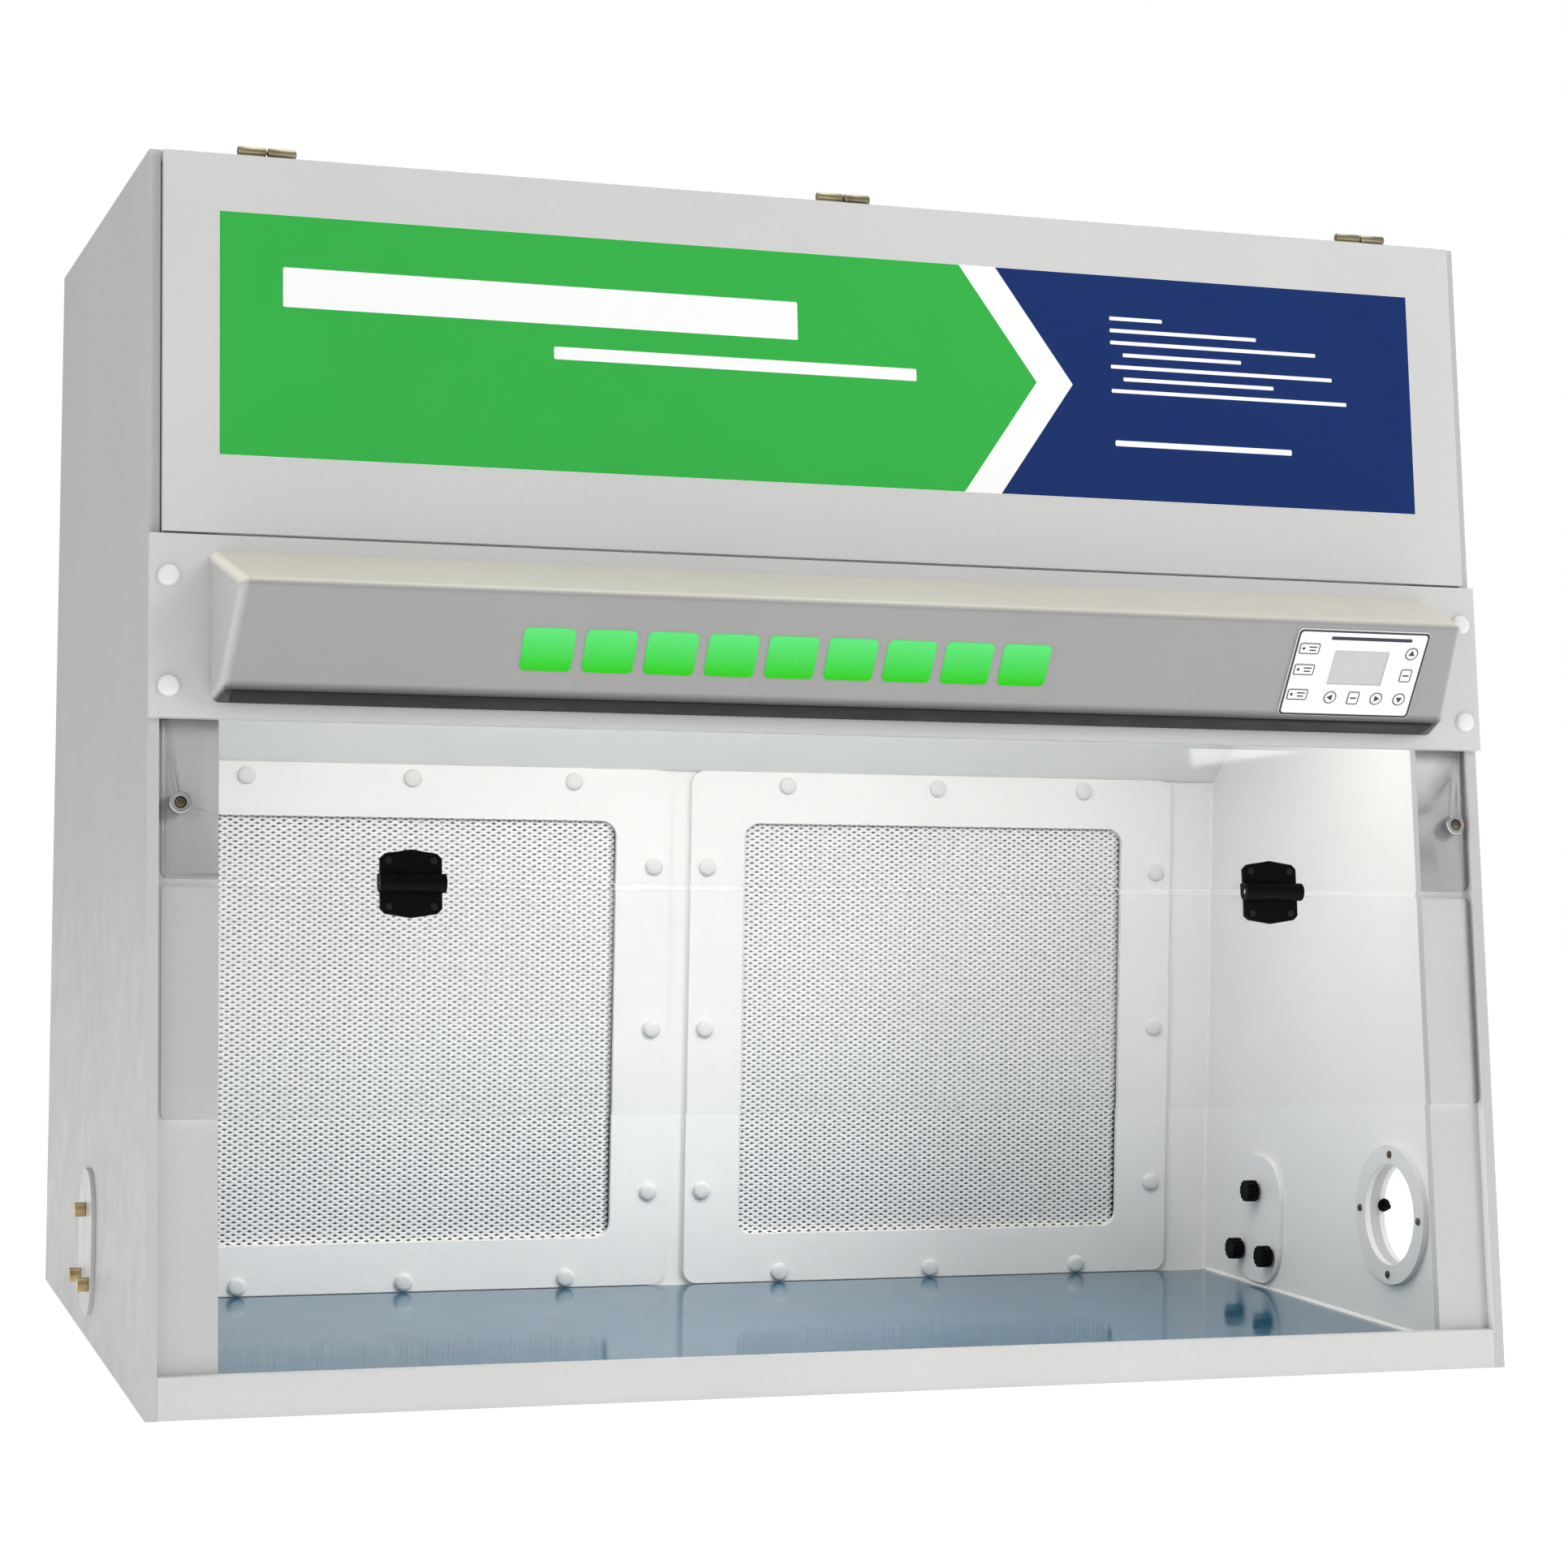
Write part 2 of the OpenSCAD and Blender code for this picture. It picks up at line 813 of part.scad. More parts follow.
module main_filters() {
    low = shelf_z + inner_t;
    color("slategray") at_body() both_sides() difference() {
        block(8, inner_x - 8, 140, 700, low, low + filter_h);
        block(40, inner_x - 40, 172, 660, low - cut, low + 8);
        block(40, inner_x - 40, 172, 660, low + filter_h - 8, low + filter_h + cut);
    }
}

module fan_deck() {
    front_y = deck_z * tan(lean) + 26;
    color("white") at_body() difference() {
        union() {
            block(-inner_x, inner_x, front_y, body_d - sheet_t, deck_z, deck_z + inner_t);
            both_sides() translate([blower_x, blower_y, deck_z + inner_t]) cylinder(h = 6, d = 170);
        }
        both_sides() translate([blower_x, blower_y, deck_z - cut]) cylinder(h = 20, d = 150);
    }
}

module blower_motors() {
    top_z = body_h - sheet_t;
    color("dimgray") at_body() both_sides() translate([blower_x, blower_y, 0]) {
        translate([0, 0, top_z - 30]) cylinder(h = 30, d = 92);
        translate([0, 0, top_z - 78]) cylinder(h = 50, d = shaft_d);
    }
}

// Backward-curved wheel: a hub, a back plate, straight set-back blades and an inlet ring
module impeller() {
    plate_z = body_h - sheet_t - 34;
    blade_h = 58;
    blades = 9;
    difference() {
        union() {
            translate([0, 0, plate_z - 3]) cylinder(h = 3, d = impeller_d);
            translate([0, 0, plate_z - 40]) cylinder(h = 40, d = 30);
            for (i = [0 : blades - 1]) {
                rotate([0, 0, i * 360 / blades]) translate([58, 0, plate_z - blade_h]) {
                    rotate([0, 0, -48]) translate([-1, -2, 0]) cube([2.5, 40, blade_h - 2]);
                }
            }
            translate([0, 0, plate_z - blade_h - 2]) difference() {
                cylinder(h = 4, d = impeller_d);
                translate([0, 0, -cut]) cylinder(h = 8, d = 118);
            }
        }
        translate([0, 0, plate_z - 60]) cylinder(h = 80, d = shaft_d + 0.1);
    }
}

module impeller_left() {
    color("gray") at_body() translate([-blower_x, blower_y, 0]) impeller();
}

module impeller_right() {
    color("gray") at_body() translate([blower_x, blower_y, 0]) impeller();
}

module exhaust_grilles() {
    slots = 15;
    color("gainsboro") at_body() at_exhausts() translate([0, 0, body_h]) difference() {
        linear_extrude(2.5) round_rect(410, 160, 10);
        for (i = [0 : slots - 1]) {
            translate([(i - (slots - 1) / 2) * 25, 0, -cut]) {
                linear_extrude(6) square([12, 120], center = true);
            }
        }
    }
}

module power_inlet() {
    inlet_x = 470;
    color("black") at_body() translate([inlet_x + 24, 0, 874]) difference() {
        union() {
            block(-23.7, 23.7, body_d - 26, body_d, -13.7, 13.7);
            block(-29, 29, body_d, body_d + inlet_lip, -17, 17);
        }
        difference() {
            block(-14, 14, body_d - 18, body_d + inlet_lip + cut, -9, 9);
            for (p = [[-7, -2], [0, 2], [7, -2]]) {
                block(p.x - 1, p.x + 1, body_d - 18, body_d - 3, p.y - 2, p.y + 2);
            }
        }
    }
}

module chamber_light() {
    color("ghostwhite") at_body() {
        block(-500, 500, 150, 190, ceiling_z - 14, ceiling_z);
        block(-480, 480, 156, 184, ceiling_z - 18, ceiling_z - 14);
    }
}

// ---- Side wall fittings ----

module port_ring(x0, x1) {
    translate([0, port_y, port_z]) difference() {
        rod_x(x0, x1, port_ring_d);
        rod_x(x0 - cut, x1 + cut, port_d);
    }
}

module port_rings() {
    color("gainsboro") at_body() {
        port_ring(inner_x - 6, inner_x);
        port_ring(half_w, half_w + 6);
    }
}

module service_plate(x0, x1) {
    difference() {
        translate([0, service_y, service_z]) along_x(x0, x1) round_rect(104, 132, 44);
        at_valves() rod_x(x0 - cut, x1 + cut, valve_d + 1);
    }
}

// Inner and outer plate of one wall
module both_plates() {
    service_plate(inner_x - 4, inner_x);
    service_plate(half_w, half_w + 4);
}

module service_plates() {
    color("gainsboro") at_body() {
        both_plates();
        left_services() both_plates();
    }
}

// Needle valves: a stem for the knob, a brass body through the wall and a hose outlet
module wall_valves() {
    outlet_x = half_w + 4.5;
    at_valves() {
        rod_x(inner_x - knob_reach, inner_x - valve_reach, stem_d);
        rod_x(inner_x - valve_reach, outlet_x, valve_d);
        rod_x(outlet_x, outlet_x + outlet_l, outlet_d);
    }
}

module service_valves() {
    color("goldenrod") at_body() {
        wall_valves();
        left_services() wall_valves();
    }
}

module knob(y, z) {
    stem_end = inner_x - knob_reach;
    color("black") translate([0, y, z]) difference() {
        rod_x(stem_end - 3, inner_x - valve_reach - 1, knob_d);
        rod_x(stem_end - gap, inner_x, stem_d + 0.1);
        for (a = [0 : 30 : 330]) {
            rotate([a, 0, 0]) translate([0, 0, knob_d / 2 + 1]) rod_x(stem_end - 9, inner_x, 4);
        }
    }
}

module knob_left_top() { at_body() left_services() knob(service_y, knob_top_z); }
module knob_left_front() { at_body() left_services() knob(service_y - knob_spread, knob_low_z); }
module knob_left_rear() { at_body() left_services() knob(service_y + knob_spread, knob_low_z); }
module knob_right_top() { at_body() knob(service_y, knob_top_z); }
module knob_right_front() { at_body() knob(service_y - knob_spread, knob_low_z); }
module knob_right_rear() { at_body() knob(service_y + knob_spread, knob_low_z); }

base_panel();
worktop();
front_sill();
left_wall();
right_wall();
back_panel();
top_panel();
front_frame();
chamber_ceiling();
rear_baffle();
filter_frames();
filter_grilles();
prefilters();
cap_screws();
fascia();
canopy();
canopy_lens();
light_segments();
controller_panel();
controller_display();
controller_board();
upper_pane();
sash_screws();
sash_hinge_tops();
sash_hinge_pins();
lower_pane();
sash_hinge_flaps();
flap_screws();
head_door();
door_decal();
door_hinge_tops();
door_hinge_flaps();
door_hinge_pins();
filter_shelf();
main_filters();
fan_deck();
blower_motors();
impeller_left();
impeller_right();
exhaust_grilles();
power_inlet();
chamber_light();
port_rings();
service_plates();
service_valves();
knob_left_top();
knob_left_front();
knob_left_rear();
knob_right_top();
knob_right_front();
knob_right_rear();
key_menu();
key_mode();
key_mute();
key_up();
key_enter();
key_down();
key_left();
key_fan();
key_right();
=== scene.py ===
# %% [markdown]
# # A ductless fume hood
# The hood is a white-grey cabinet of welded plastic sheet. Its front leans back. It has a head
# door with a coloured film, a formed canopy with a row of lit blocks and a key panel, a clear
# sash on two black hinges, and two square prefilters in the back wall of the chamber.
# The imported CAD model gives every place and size. Blender adds the finishes and the fine pieces:
# expanded mesh, paper pleats, domed caps, films, hinge knuckles, weld beads and screws.

# %% Load the fixed frame
import math

import bmesh
import bpy
from mathutils import Matrix, Vector


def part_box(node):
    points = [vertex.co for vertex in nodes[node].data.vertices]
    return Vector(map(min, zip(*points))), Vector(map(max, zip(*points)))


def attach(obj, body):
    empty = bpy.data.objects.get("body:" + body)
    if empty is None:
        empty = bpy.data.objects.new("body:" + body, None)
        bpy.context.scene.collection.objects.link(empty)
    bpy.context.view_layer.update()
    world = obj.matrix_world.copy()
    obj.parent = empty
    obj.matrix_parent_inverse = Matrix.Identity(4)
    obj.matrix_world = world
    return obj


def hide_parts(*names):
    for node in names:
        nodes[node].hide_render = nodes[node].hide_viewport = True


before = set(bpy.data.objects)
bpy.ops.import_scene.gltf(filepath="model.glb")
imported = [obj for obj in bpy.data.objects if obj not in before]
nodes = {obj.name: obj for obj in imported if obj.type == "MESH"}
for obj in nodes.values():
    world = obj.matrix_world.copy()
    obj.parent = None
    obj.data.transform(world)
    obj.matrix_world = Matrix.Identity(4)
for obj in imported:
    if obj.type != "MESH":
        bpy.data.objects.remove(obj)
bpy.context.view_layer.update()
scene = bpy.context.scene

# %% [markdown]
# Three working frames save a lot of arithmetic. FRONT stands on the leaning front: X along it,
# Y into the hood, Z up the slope. FACE stands on the canopy's face in the same way. BODY is the
# upright cabinet. Each has its origin where a joiner would hook a tape measure: on the front
# bottom edge of the side walls, and in the middle of the key panel.

# %% Working frames
MM = 0.001
LEAN = math.radians(6.9)
FACE_TILT = math.radians(30)
PANEL_T = 2 * MM


def middle(node):
    low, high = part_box(node)
    return (low + high) / 2


front_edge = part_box("left_wall")[0].y
BODY = Matrix.Translation((0, front_edge, 0))
FRONT = BODY @ Matrix.Rotation(-LEAN, 4, "X")
PANEL = Matrix.Translation(middle("controller_panel")) @ Matrix.Rotation(FACE_TILT, 4, "X")
PANEL = PANEL @ Matrix.Translation((0, PANEL_T / 2, 0))
outer_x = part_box("right_wall")[1].x
print("front bottom edge at y", round(front_edge, 4), "half width", round(outer_x, 4))

# %% [markdown]
# The eye stands to the left of the hood at the height of the sash, looks a little to the right
# and very slightly up, and its horizon is tipped by under one degree. A long lens from three
# metres keeps the cabinet's sides nearly parallel. Euler angles would hide these four facts, so
# the rotation is written as turn, pitch and roll, in that order.

# %% Camera
EYE = Vector((-0.940, -3.02675, 0.481))
TURN = math.radians(18.03)
PITCH = math.radians(0.71)
ROLL = math.radians(0.94)

camera_data = bpy.data.cameras.new("eye")
camera_data.sensor_width = 36
camera_data.lens = 75.17
camera = bpy.data.objects.new("eye", camera_data)
turned = Matrix.Rotation(-TURN, 4, "Z") @ Matrix.Rotation(math.pi / 2 + PITCH, 4, "X")
camera.matrix_world = Matrix.Translation(EYE) @ turned @ Matrix.Rotation(ROLL, 4, "Z")
scene.collection.objects.link(camera)
scene.camera = camera
print("camera at", tuple(round(v, 3) for v in camera.location))

# %% [markdown]
# A catalogue studio is a white sweep with big soft boxes. The world gives the even fill, one
# box from the right throws the faint shadows to the left of the caps and the canopy, and a wider,
# weaker one fills from the left. A narrow, slightly warm lamp inside stands for the hood's own
# light under the ceiling of the chamber. The right-hand box and the lamp are kept out of
# reflections, or they would glare in the sash. The sweep behind the hood is simply white.

# %% Studio
scene.view_settings.view_transform = "Standard"
scene.view_settings.look = "None"


def node_tree(owner):
    owner.use_nodes = True
    tree = owner.node_tree
    tree.nodes.clear()
    return tree


def studio_world(fill, seen):
    world = bpy.data.worlds.new("white_studio")
    scene.world = world
    tree = node_tree(world)
    lamp = tree.nodes.new("ShaderNodeBackground")
    lamp.inputs["Color"].default_value = (1.0, 1.0, 1.0, 1)
    lamp.inputs["Strength"].default_value = fill
    sweep = tree.nodes.new("ShaderNodeBackground")
    sweep.inputs["Color"].default_value = (1.0, 1.0, 1.0, 1)
    sweep.inputs["Strength"].default_value = seen
    ray = tree.nodes.new("ShaderNodeLightPath")
    blend = tree.nodes.new("ShaderNodeMixShader")
    out = tree.nodes.new("ShaderNodeOutputWorld")
    tree.links.new(ray.outputs["Is Camera Ray"], blend.inputs[0])
    tree.links.new(lamp.outputs[0], blend.inputs[1])
    tree.links.new(sweep.outputs[0], blend.inputs[2])
    tree.links.new(blend.outputs[0], out.inputs[0])


def soft_box(name, place, aim, size, watts, tint=(1, 1, 1)):
    data = bpy.data.lights.new(name, "AREA")
    data.shape = "RECTANGLE"
    data.size = size[0]
    data.size_y = size[1]
    data.energy = watts
    data.color = tint
    lamp = bpy.data.objects.new(name, data)
    lamp.location = place
    lamp.rotation_euler = (Vector(aim) - Vector(place)).to_track_quat("-Z", "Y").to_euler()
    lamp.visible_camera = False
    scene.collection.objects.link(lamp)
    return lamp


studio_world(fill=0.50, seen=1.0)
box_right = soft_box("box_right", (2.6, -3.4, 2.3), (0, -0.2, 0.5), (1.6, 1.6), 66)
box_right.visible_glossy = False
soft_box("box_left", (-3.4, -2.4, 1.6), (0, 0, 0.5), (2.2, 2.2), 20)
soft_box("box_top", (0.2, 0.2, 3.2), (0, 0, 0.6), (2.4, 2.4), 40)
lamp_low, lamp_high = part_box("chamber_light")
lamp_size = (lamp_high.x - lamp_low.x, 0.10)
lamp_place = (0, (lamp_low.y + lamp_high.y) / 2, lamp_low.z - 4 * MM)
chamber_lamp = soft_box("chamber_lamp", lamp_place, (0, lamp_place[1] + 0.16, 0.1), lamp_size, 3.5,
                        (1.0, 0.97, 0.925))
chamber_lamp.visible_glossy = False
chamber_lamp.visible_transmission = False

# %% [markdown]
# Materials first. Nearly everything is one sheet plastic: a satin skin with the fine orange peel
# of a pressed sheet, faint cloudiness and a few handling smudges that only show in the gloss.
# One function makes that family. Its colour moves by a per cent or two, its roughness by more,
# and two sizes of bump give the peel and the slight waviness.

# %% Finish helpers
def link(tree, a, b):
    tree.links.new(a, b)


def noise(tree, place, scale, detail=3.0, rough=0.5, stretch=None):
    if stretch:
        shift = tree.nodes.new("ShaderNodeMapping")
        shift.inputs["Scale"].default_value = stretch
        link(tree, place, shift.inputs["Vector"])
        place = shift.outputs[0]
    tex = tree.nodes.new("ShaderNodeTexNoise")
    tex.inputs["Scale"].default_value = scale
    tex.inputs["Detail"].default_value = detail
    tex.inputs["Roughness"].default_value = rough
    link(tree, place, tex.inputs["Vector"])
    return tex.outputs["Fac"]


def spread(tree, value, low, high, start=0.3, end=0.7):
    ranger = tree.nodes.new("ShaderNodeMapRange")
    ranger.inputs["From Min"].default_value = start
    ranger.inputs["From Max"].default_value = end
    ranger.inputs["To Min"].default_value = low
    ranger.inputs["To Max"].default_value = high
    link(tree, value, ranger.inputs["Value"])
    return ranger.outputs[0]


def two_tone(tree, value, dark, light, start=0.35, end=0.65):
    ramp = tree.nodes.new("ShaderNodeValToRGB")
    ramp.color_ramp.elements[0].position = start
    ramp.color_ramp.elements[0].color = (*dark, 1)
    ramp.color_ramp.elements[1].position = end
    ramp.color_ramp.elements[1].color = (*light, 1)
    link(tree, value, ramp.inputs[0])
    return ramp.outputs[0]


def bump(tree, value, height, normal=None):
    lift = tree.nodes.new("ShaderNodeBump")
    lift.inputs["Distance"].default_value = height
    lift.inputs["Strength"].default_value = 1.0
    link(tree, value, lift.inputs["Height"])
    if normal is not None:
        link(tree, normal, lift.inputs["Normal"])
    return lift.outputs[0]


def new_finish(name):
    finish = bpy.data.materials.new(name)
    tree = node_tree(finish)
    shader = tree.nodes.new("ShaderNodeBsdfPrincipled")
    out = tree.nodes.new("ShaderNodeOutputMaterial")
    link(tree, shader.outputs[0], out.inputs[0])
    place = tree.nodes.new("ShaderNodeTexCoord").outputs["Object"]
    return finish, tree, shader, place


def shade(colour, factor):
    return tuple(min(1.0, c * factor) for c in colour)


def plastic(name, colour, rough, cloud=0.02, peel=0.00006, grain=420, wave=0.0004, coat=0.0, shine=0.5):
    """Sheet or moulded plastic: a grain, a cloud over it and smudges in the gloss."""
    finish, tree, shader, place = new_finish(name)
    fine = noise(tree, place, grain, 2.0)
    broad = noise(tree, place, 5.0, 4.0)
    smudge = noise(tree, place, 26.0, 6.0, 0.62)
    mixed = tree.nodes.new("ShaderNodeMath")
    mixed.operation = "MULTIPLY_ADD"
    mixed.inputs[1].default_value = 0.55
    link(tree, fine, mixed.inputs[0])
    halved = spread(tree, broad, 0.0, 0.45, 0.25, 0.75)
    link(tree, halved, mixed.inputs[2])
    tone = two_tone(tree, mixed.outputs[0], shade(colour, 1 - cloud), shade(colour, 1 + cloud))
    link(tree, tone, shader.inputs["Base Color"])
    link(tree, spread(tree, smudge, rough * 0.85, rough * 1.25), shader.inputs["Roughness"])
    waves = bump(tree, noise(tree, place, 9.0, 1.0), wave)
    link(tree, bump(tree, fine, peel, waves), shader.inputs["Normal"])
    shader.inputs["IOR"].default_value = 1.49
    shader.inputs["Specular IOR Level"].default_value = shine
    shader.inputs["Coat Weight"].default_value = coat
    shader.inputs["Coat Roughness"].default_value = 0.08
    return finish


def metal(name, dark, light, rough, brushed=(1, 1, 1), scratch=0.00003, tarnish=30.0):
    """Plain metal: tarnish clouds, and fine lines along the way it was drawn or turned."""
    finish, tree, shader, place = new_finish(name)
    cloud = noise(tree, place, tarnish, 5.0, 0.6)
    lines = noise(tree, place, 260.0, 3.0, 0.7, brushed)
    link(tree, two_tone(tree, cloud, dark, light, 0.3, 0.7), shader.inputs["Base Color"])
    link(tree, spread(tree, lines, rough * 0.7, rough * 1.4), shader.inputs["Roughness"])
    link(tree, bump(tree, lines, scratch), shader.inputs["Normal"])
    shader.inputs["Metallic"].default_value = 1.0
    return finish


# %% [markdown]
# Some pieces are one sheet with two looks: a side wall is grey outside and white inside, and the
# canopy is painted lighter and cream where it faces up, lighter on its ends and near black
# underneath: painted light and painted shade. A second colour multiplies the first where the
# place on the piece, or the way it faces, says so. Clouds and grain run through both.

# %% Second colour on part of a piece
def coordinate(finish, kind, axis, absolute=False):
    """Place ("Object") or facing ("Normal") along one axis of the shared frame."""
    tree = finish.node_tree
    split = tree.nodes.new("ShaderNodeSeparateXYZ")
    link(tree, tree.nodes["Texture Coordinate"].outputs[kind], split.inputs[0])
    if not absolute:
        return split.outputs[axis]
    size = tree.nodes.new("ShaderNodeMath")
    size.operation = "ABSOLUTE"
    link(tree, split.outputs[axis], size.inputs[0])
    return size.outputs[0]


def product(finish, a, b):
    times = finish.node_tree.nodes.new("ShaderNodeMath")
    times.operation = "MULTIPLY"
    link(finish.node_tree, a, times.inputs[0])
    link(finish.node_tree, b, times.inputs[1])
    return times.outputs[0]


def tint_where(finish, level, start, end, tint):
    """Multiplies the colour by the tint, fully once the level has gone from start to end."""
    tree = finish.node_tree
    base = tree.nodes["Principled BSDF"].inputs["Base Color"]
    mix = tree.nodes.new("ShaderNodeMix")
    mix.data_type = "RGBA"
    mix.blend_type = "MULTIPLY"
    link(tree, spread(tree, level, 0.0, 1.0, start, end), mix.inputs[0])
    link(tree, base.links[0].from_socket, mix.inputs[6])
    mix.inputs[7].default_value = (*tint, 1)
    link(tree, mix.outputs[2], base)


# %% [markdown]
# The cabinet outside is a light grey, the lining whiter. The side walls and the stiles are darker
# copies of the outside sheet: painted shade, for the shade on the side and behind the sash. The
# canopy is vacuum formed, so it has a smoother, slightly glossier skin. Its upward faces are
# painted lighter and cream and its ends lighter (painted light), and its underside near black
# (painted shade).

# %% Sheet and moulded finishes
cabinet_sheet = plastic("cabinet_sheet", (0.56, 0.56, 0.557), 0.42, 0.02, 0.00008, 380)
# painted shade: the side walls are a darker copy of the cabinet sheet, for the shade on the side; their
# inner faces are lifted back to the lining's white
shaded_wall_sheet = plastic("shaded_wall_sheet", (0.475, 0.475, 0.472), 0.42, 0.02, 0.00008, 380)
# painted shade: the stiles are a darker copy of the cabinet sheet, for the shade behind the sash
shaded_stile_sheet = plastic("shaded_stile_sheet", (0.49, 0.49, 0.487), 0.42, 0.03, 0.00008, 380)
inner_sheet = plastic("inner_sheet", (0.84, 0.84, 0.832), 0.40, 0.02, 0.00006, 380)
plate_plastic = plastic("plate_plastic", (0.80, 0.80, 0.795), 0.34, 0.02, 0.00005, 450)
white_plastic = plastic("white_plastic", (0.72, 0.72, 0.715), 0.30, 0.02, 0.00003, 500)
canopy_skin = plastic("canopy_skin", (0.275, 0.275, 0.273), 0.34, 0.02, 0.00001, 420, 0.00004, 0.15)
black_nylon = plastic("black_nylon", (0.0015, 0.0015, 0.0017), 0.50, 0.25, 0.00005, 700, shine=0.08)
key_plastic = plastic("key_plastic", (0.80, 0.80, 0.80), 0.42, 0.015, 0.00002, 800)
label_film = plastic("label_film", (0.84, 0.84, 0.84), 0.34, 0.012, 0.00002, 800)
dark_ink = plastic("dark_ink", (0.012, 0.016, 0.028), 0.36, 0.2, 0.00001, 800)
film_white = plastic("film_white", (0.86, 0.86, 0.86), 0.28, 0.01, 0.00001, 600)
film_green = plastic("film_green", (0.030, 0.385, 0.056), 0.45, 0.02, 0.00001, 600, 0.0001, shine=0.25)
film_navy = plastic("film_navy", (0.0075, 0.026, 0.125), 0.50, 0.03, 0.00001, 600, 0.0001, shine=0.15)
weld_plastic = plastic("weld_plastic", (0.80, 0.80, 0.79), 0.30, 0.03, 0.00030, 120)
filter_paper = plastic("filter_paper", (0.86, 0.86, 0.85), 0.80, 0.03, 0.00020, 900)
white_mesh = plastic("white_mesh", (0.86, 0.86, 0.855), 0.42, 0.03, 0.00008, 600)
cassette_paint = plastic("cassette_paint", (0.50, 0.51, 0.52), 0.45, 0.04, 0.00010, 500)
board_mask = plastic("board_mask", (0.015, 0.12, 0.045), 0.30, 0.2, 0.00004, 300)
motor_paint = plastic("motor_paint", (0.30, 0.31, 0.32), 0.50, 0.08, 0.00015, 400)
# near black: a smoked lens, and also painted shade under the canopy
smoked_lens_and_shade = plastic("smoked_lens_and_shade", (0.014, 0.011, 0.009), 0.40, 0.1, 0.00001, 400, 0.00001, shine=0.3)
brass = metal("brass", (0.30, 0.20, 0.08), (0.62, 0.48, 0.26), 0.30, (1, 30, 30))
hinge_brass = metal("hinge_brass", (0.20, 0.155, 0.085), (0.50, 0.44, 0.30), 0.32, (1, 30, 30))
steel = metal("steel", (0.42, 0.42, 0.43), (0.62, 0.62, 0.63), 0.28, (1, 30, 30))
dark_screw = metal("dark_screw", (0.10, 0.075, 0.045), (0.24, 0.19, 0.12), 0.35)
galvanised = metal("galvanised", (0.40, 0.41, 0.43), (0.60, 0.61, 0.63), 0.40, tarnish=60.0)
hinge_screw = plastic("hinge_screw", (0.004, 0.004, 0.0045), 0.25, 0.2, 0.00003, 700, shine=0.35)

# A wall's inner face looks back towards the middle, so place times facing is negative there.
facing_out = product(shaded_wall_sheet, coordinate(shaded_wall_sheet, "Object", "X"),
                     coordinate(shaded_wall_sheet, "Normal", "X"))
tint_where(shaded_wall_sheet, facing_out, -0.25, -0.40, (1.68, 1.68, 1.67))
outside = coordinate(plate_plastic, "Object", "X", True)
tint_where(plate_plastic, outside, outer_x - 1.0 * MM, outer_x - 0.5 * MM, (0.64, 0.64, 0.635))
# painted light and shade by facing: lighter and cream on upward faces, lighter on the ends, near black on
# the underside
tint_where(canopy_skin, coordinate(canopy_skin, "Normal", "Z"), 0.1, 0.85, (2.30, 2.19, 1.91))
tint_where(canopy_skin, coordinate(canopy_skin, "Normal", "X", True), 0.2, 0.8, (1.85, 1.85, 1.83))
tint_where(canopy_skin, coordinate(canopy_skin, "Normal", "Z"), -0.60, -0.88, (0.05, 0.042, 0.036))
print(len(bpy.data.materials), "finishes so far")

# %% [markdown]
# The worktop needs its own recipe: a blue resin with drifting lighter clouds and a glossy, nearly
# flat skin that mirrors the white back wall. The acrylic is clear through its faces, but a sawn
# edge is cloudy and lets less light through. The upright edges are painted near black as well:
# painted shade, for the dark outlines that shade and inner reflections give them.

# %% Worktop, acrylic, lamp and display finishes
def poured_blue():
    finish, tree, shader, place = new_finish("worktop_blue")
    cloud = noise(tree, place, 4.0, 5.0, 0.6)
    tone = two_tone(tree, cloud, (0.006, 0.080, 0.155), (0.011, 0.115, 0.200), 0.3, 0.7)
    link(tree, tone, shader.inputs["Base Color"])
    smudge = noise(tree, place, 14.0, 6.0, 0.65)
    link(tree, spread(tree, smudge, 0.06, 0.16), shader.inputs["Roughness"])
    link(tree, bump(tree, noise(tree, place, 30.0, 2.0), 0.00010), shader.inputs["Normal"])
    shader.inputs["Specular IOR Level"].default_value = 0.45
    shader.inputs["Coat Weight"].default_value = 0.08
    shader.inputs["Coat Roughness"].default_value = 0.03
    return finish


def clear_sheet():
    finish, tree, shader, place = new_finish("clear_acrylic")
    smudge = noise(tree, place, 8.0, 6.0, 0.6)
    # painted shade: edges facing along X are coloured near black
    side = coordinate(finish, "Normal", "X", True)
    link(tree, two_tone(tree, side, (0.975, 0.978, 0.975), (0.09, 0.10, 0.10), 0.45, 0.55),
         shader.inputs["Base Color"])
    link(tree, spread(tree, smudge, 0.004, 0.030), shader.inputs["Roughness"])
    link(tree, bump(tree, noise(tree, place, 3.0, 1.0), 0.00001), shader.inputs["Normal"])
    front = coordinate(finish, "Normal", "Y", True)
    link(tree, spread(tree, front, 0.25, 1.0, 0.4, 0.6), shader.inputs["Transmission Weight"])
    shader.inputs["IOR"].default_value = 1.49
    return finish


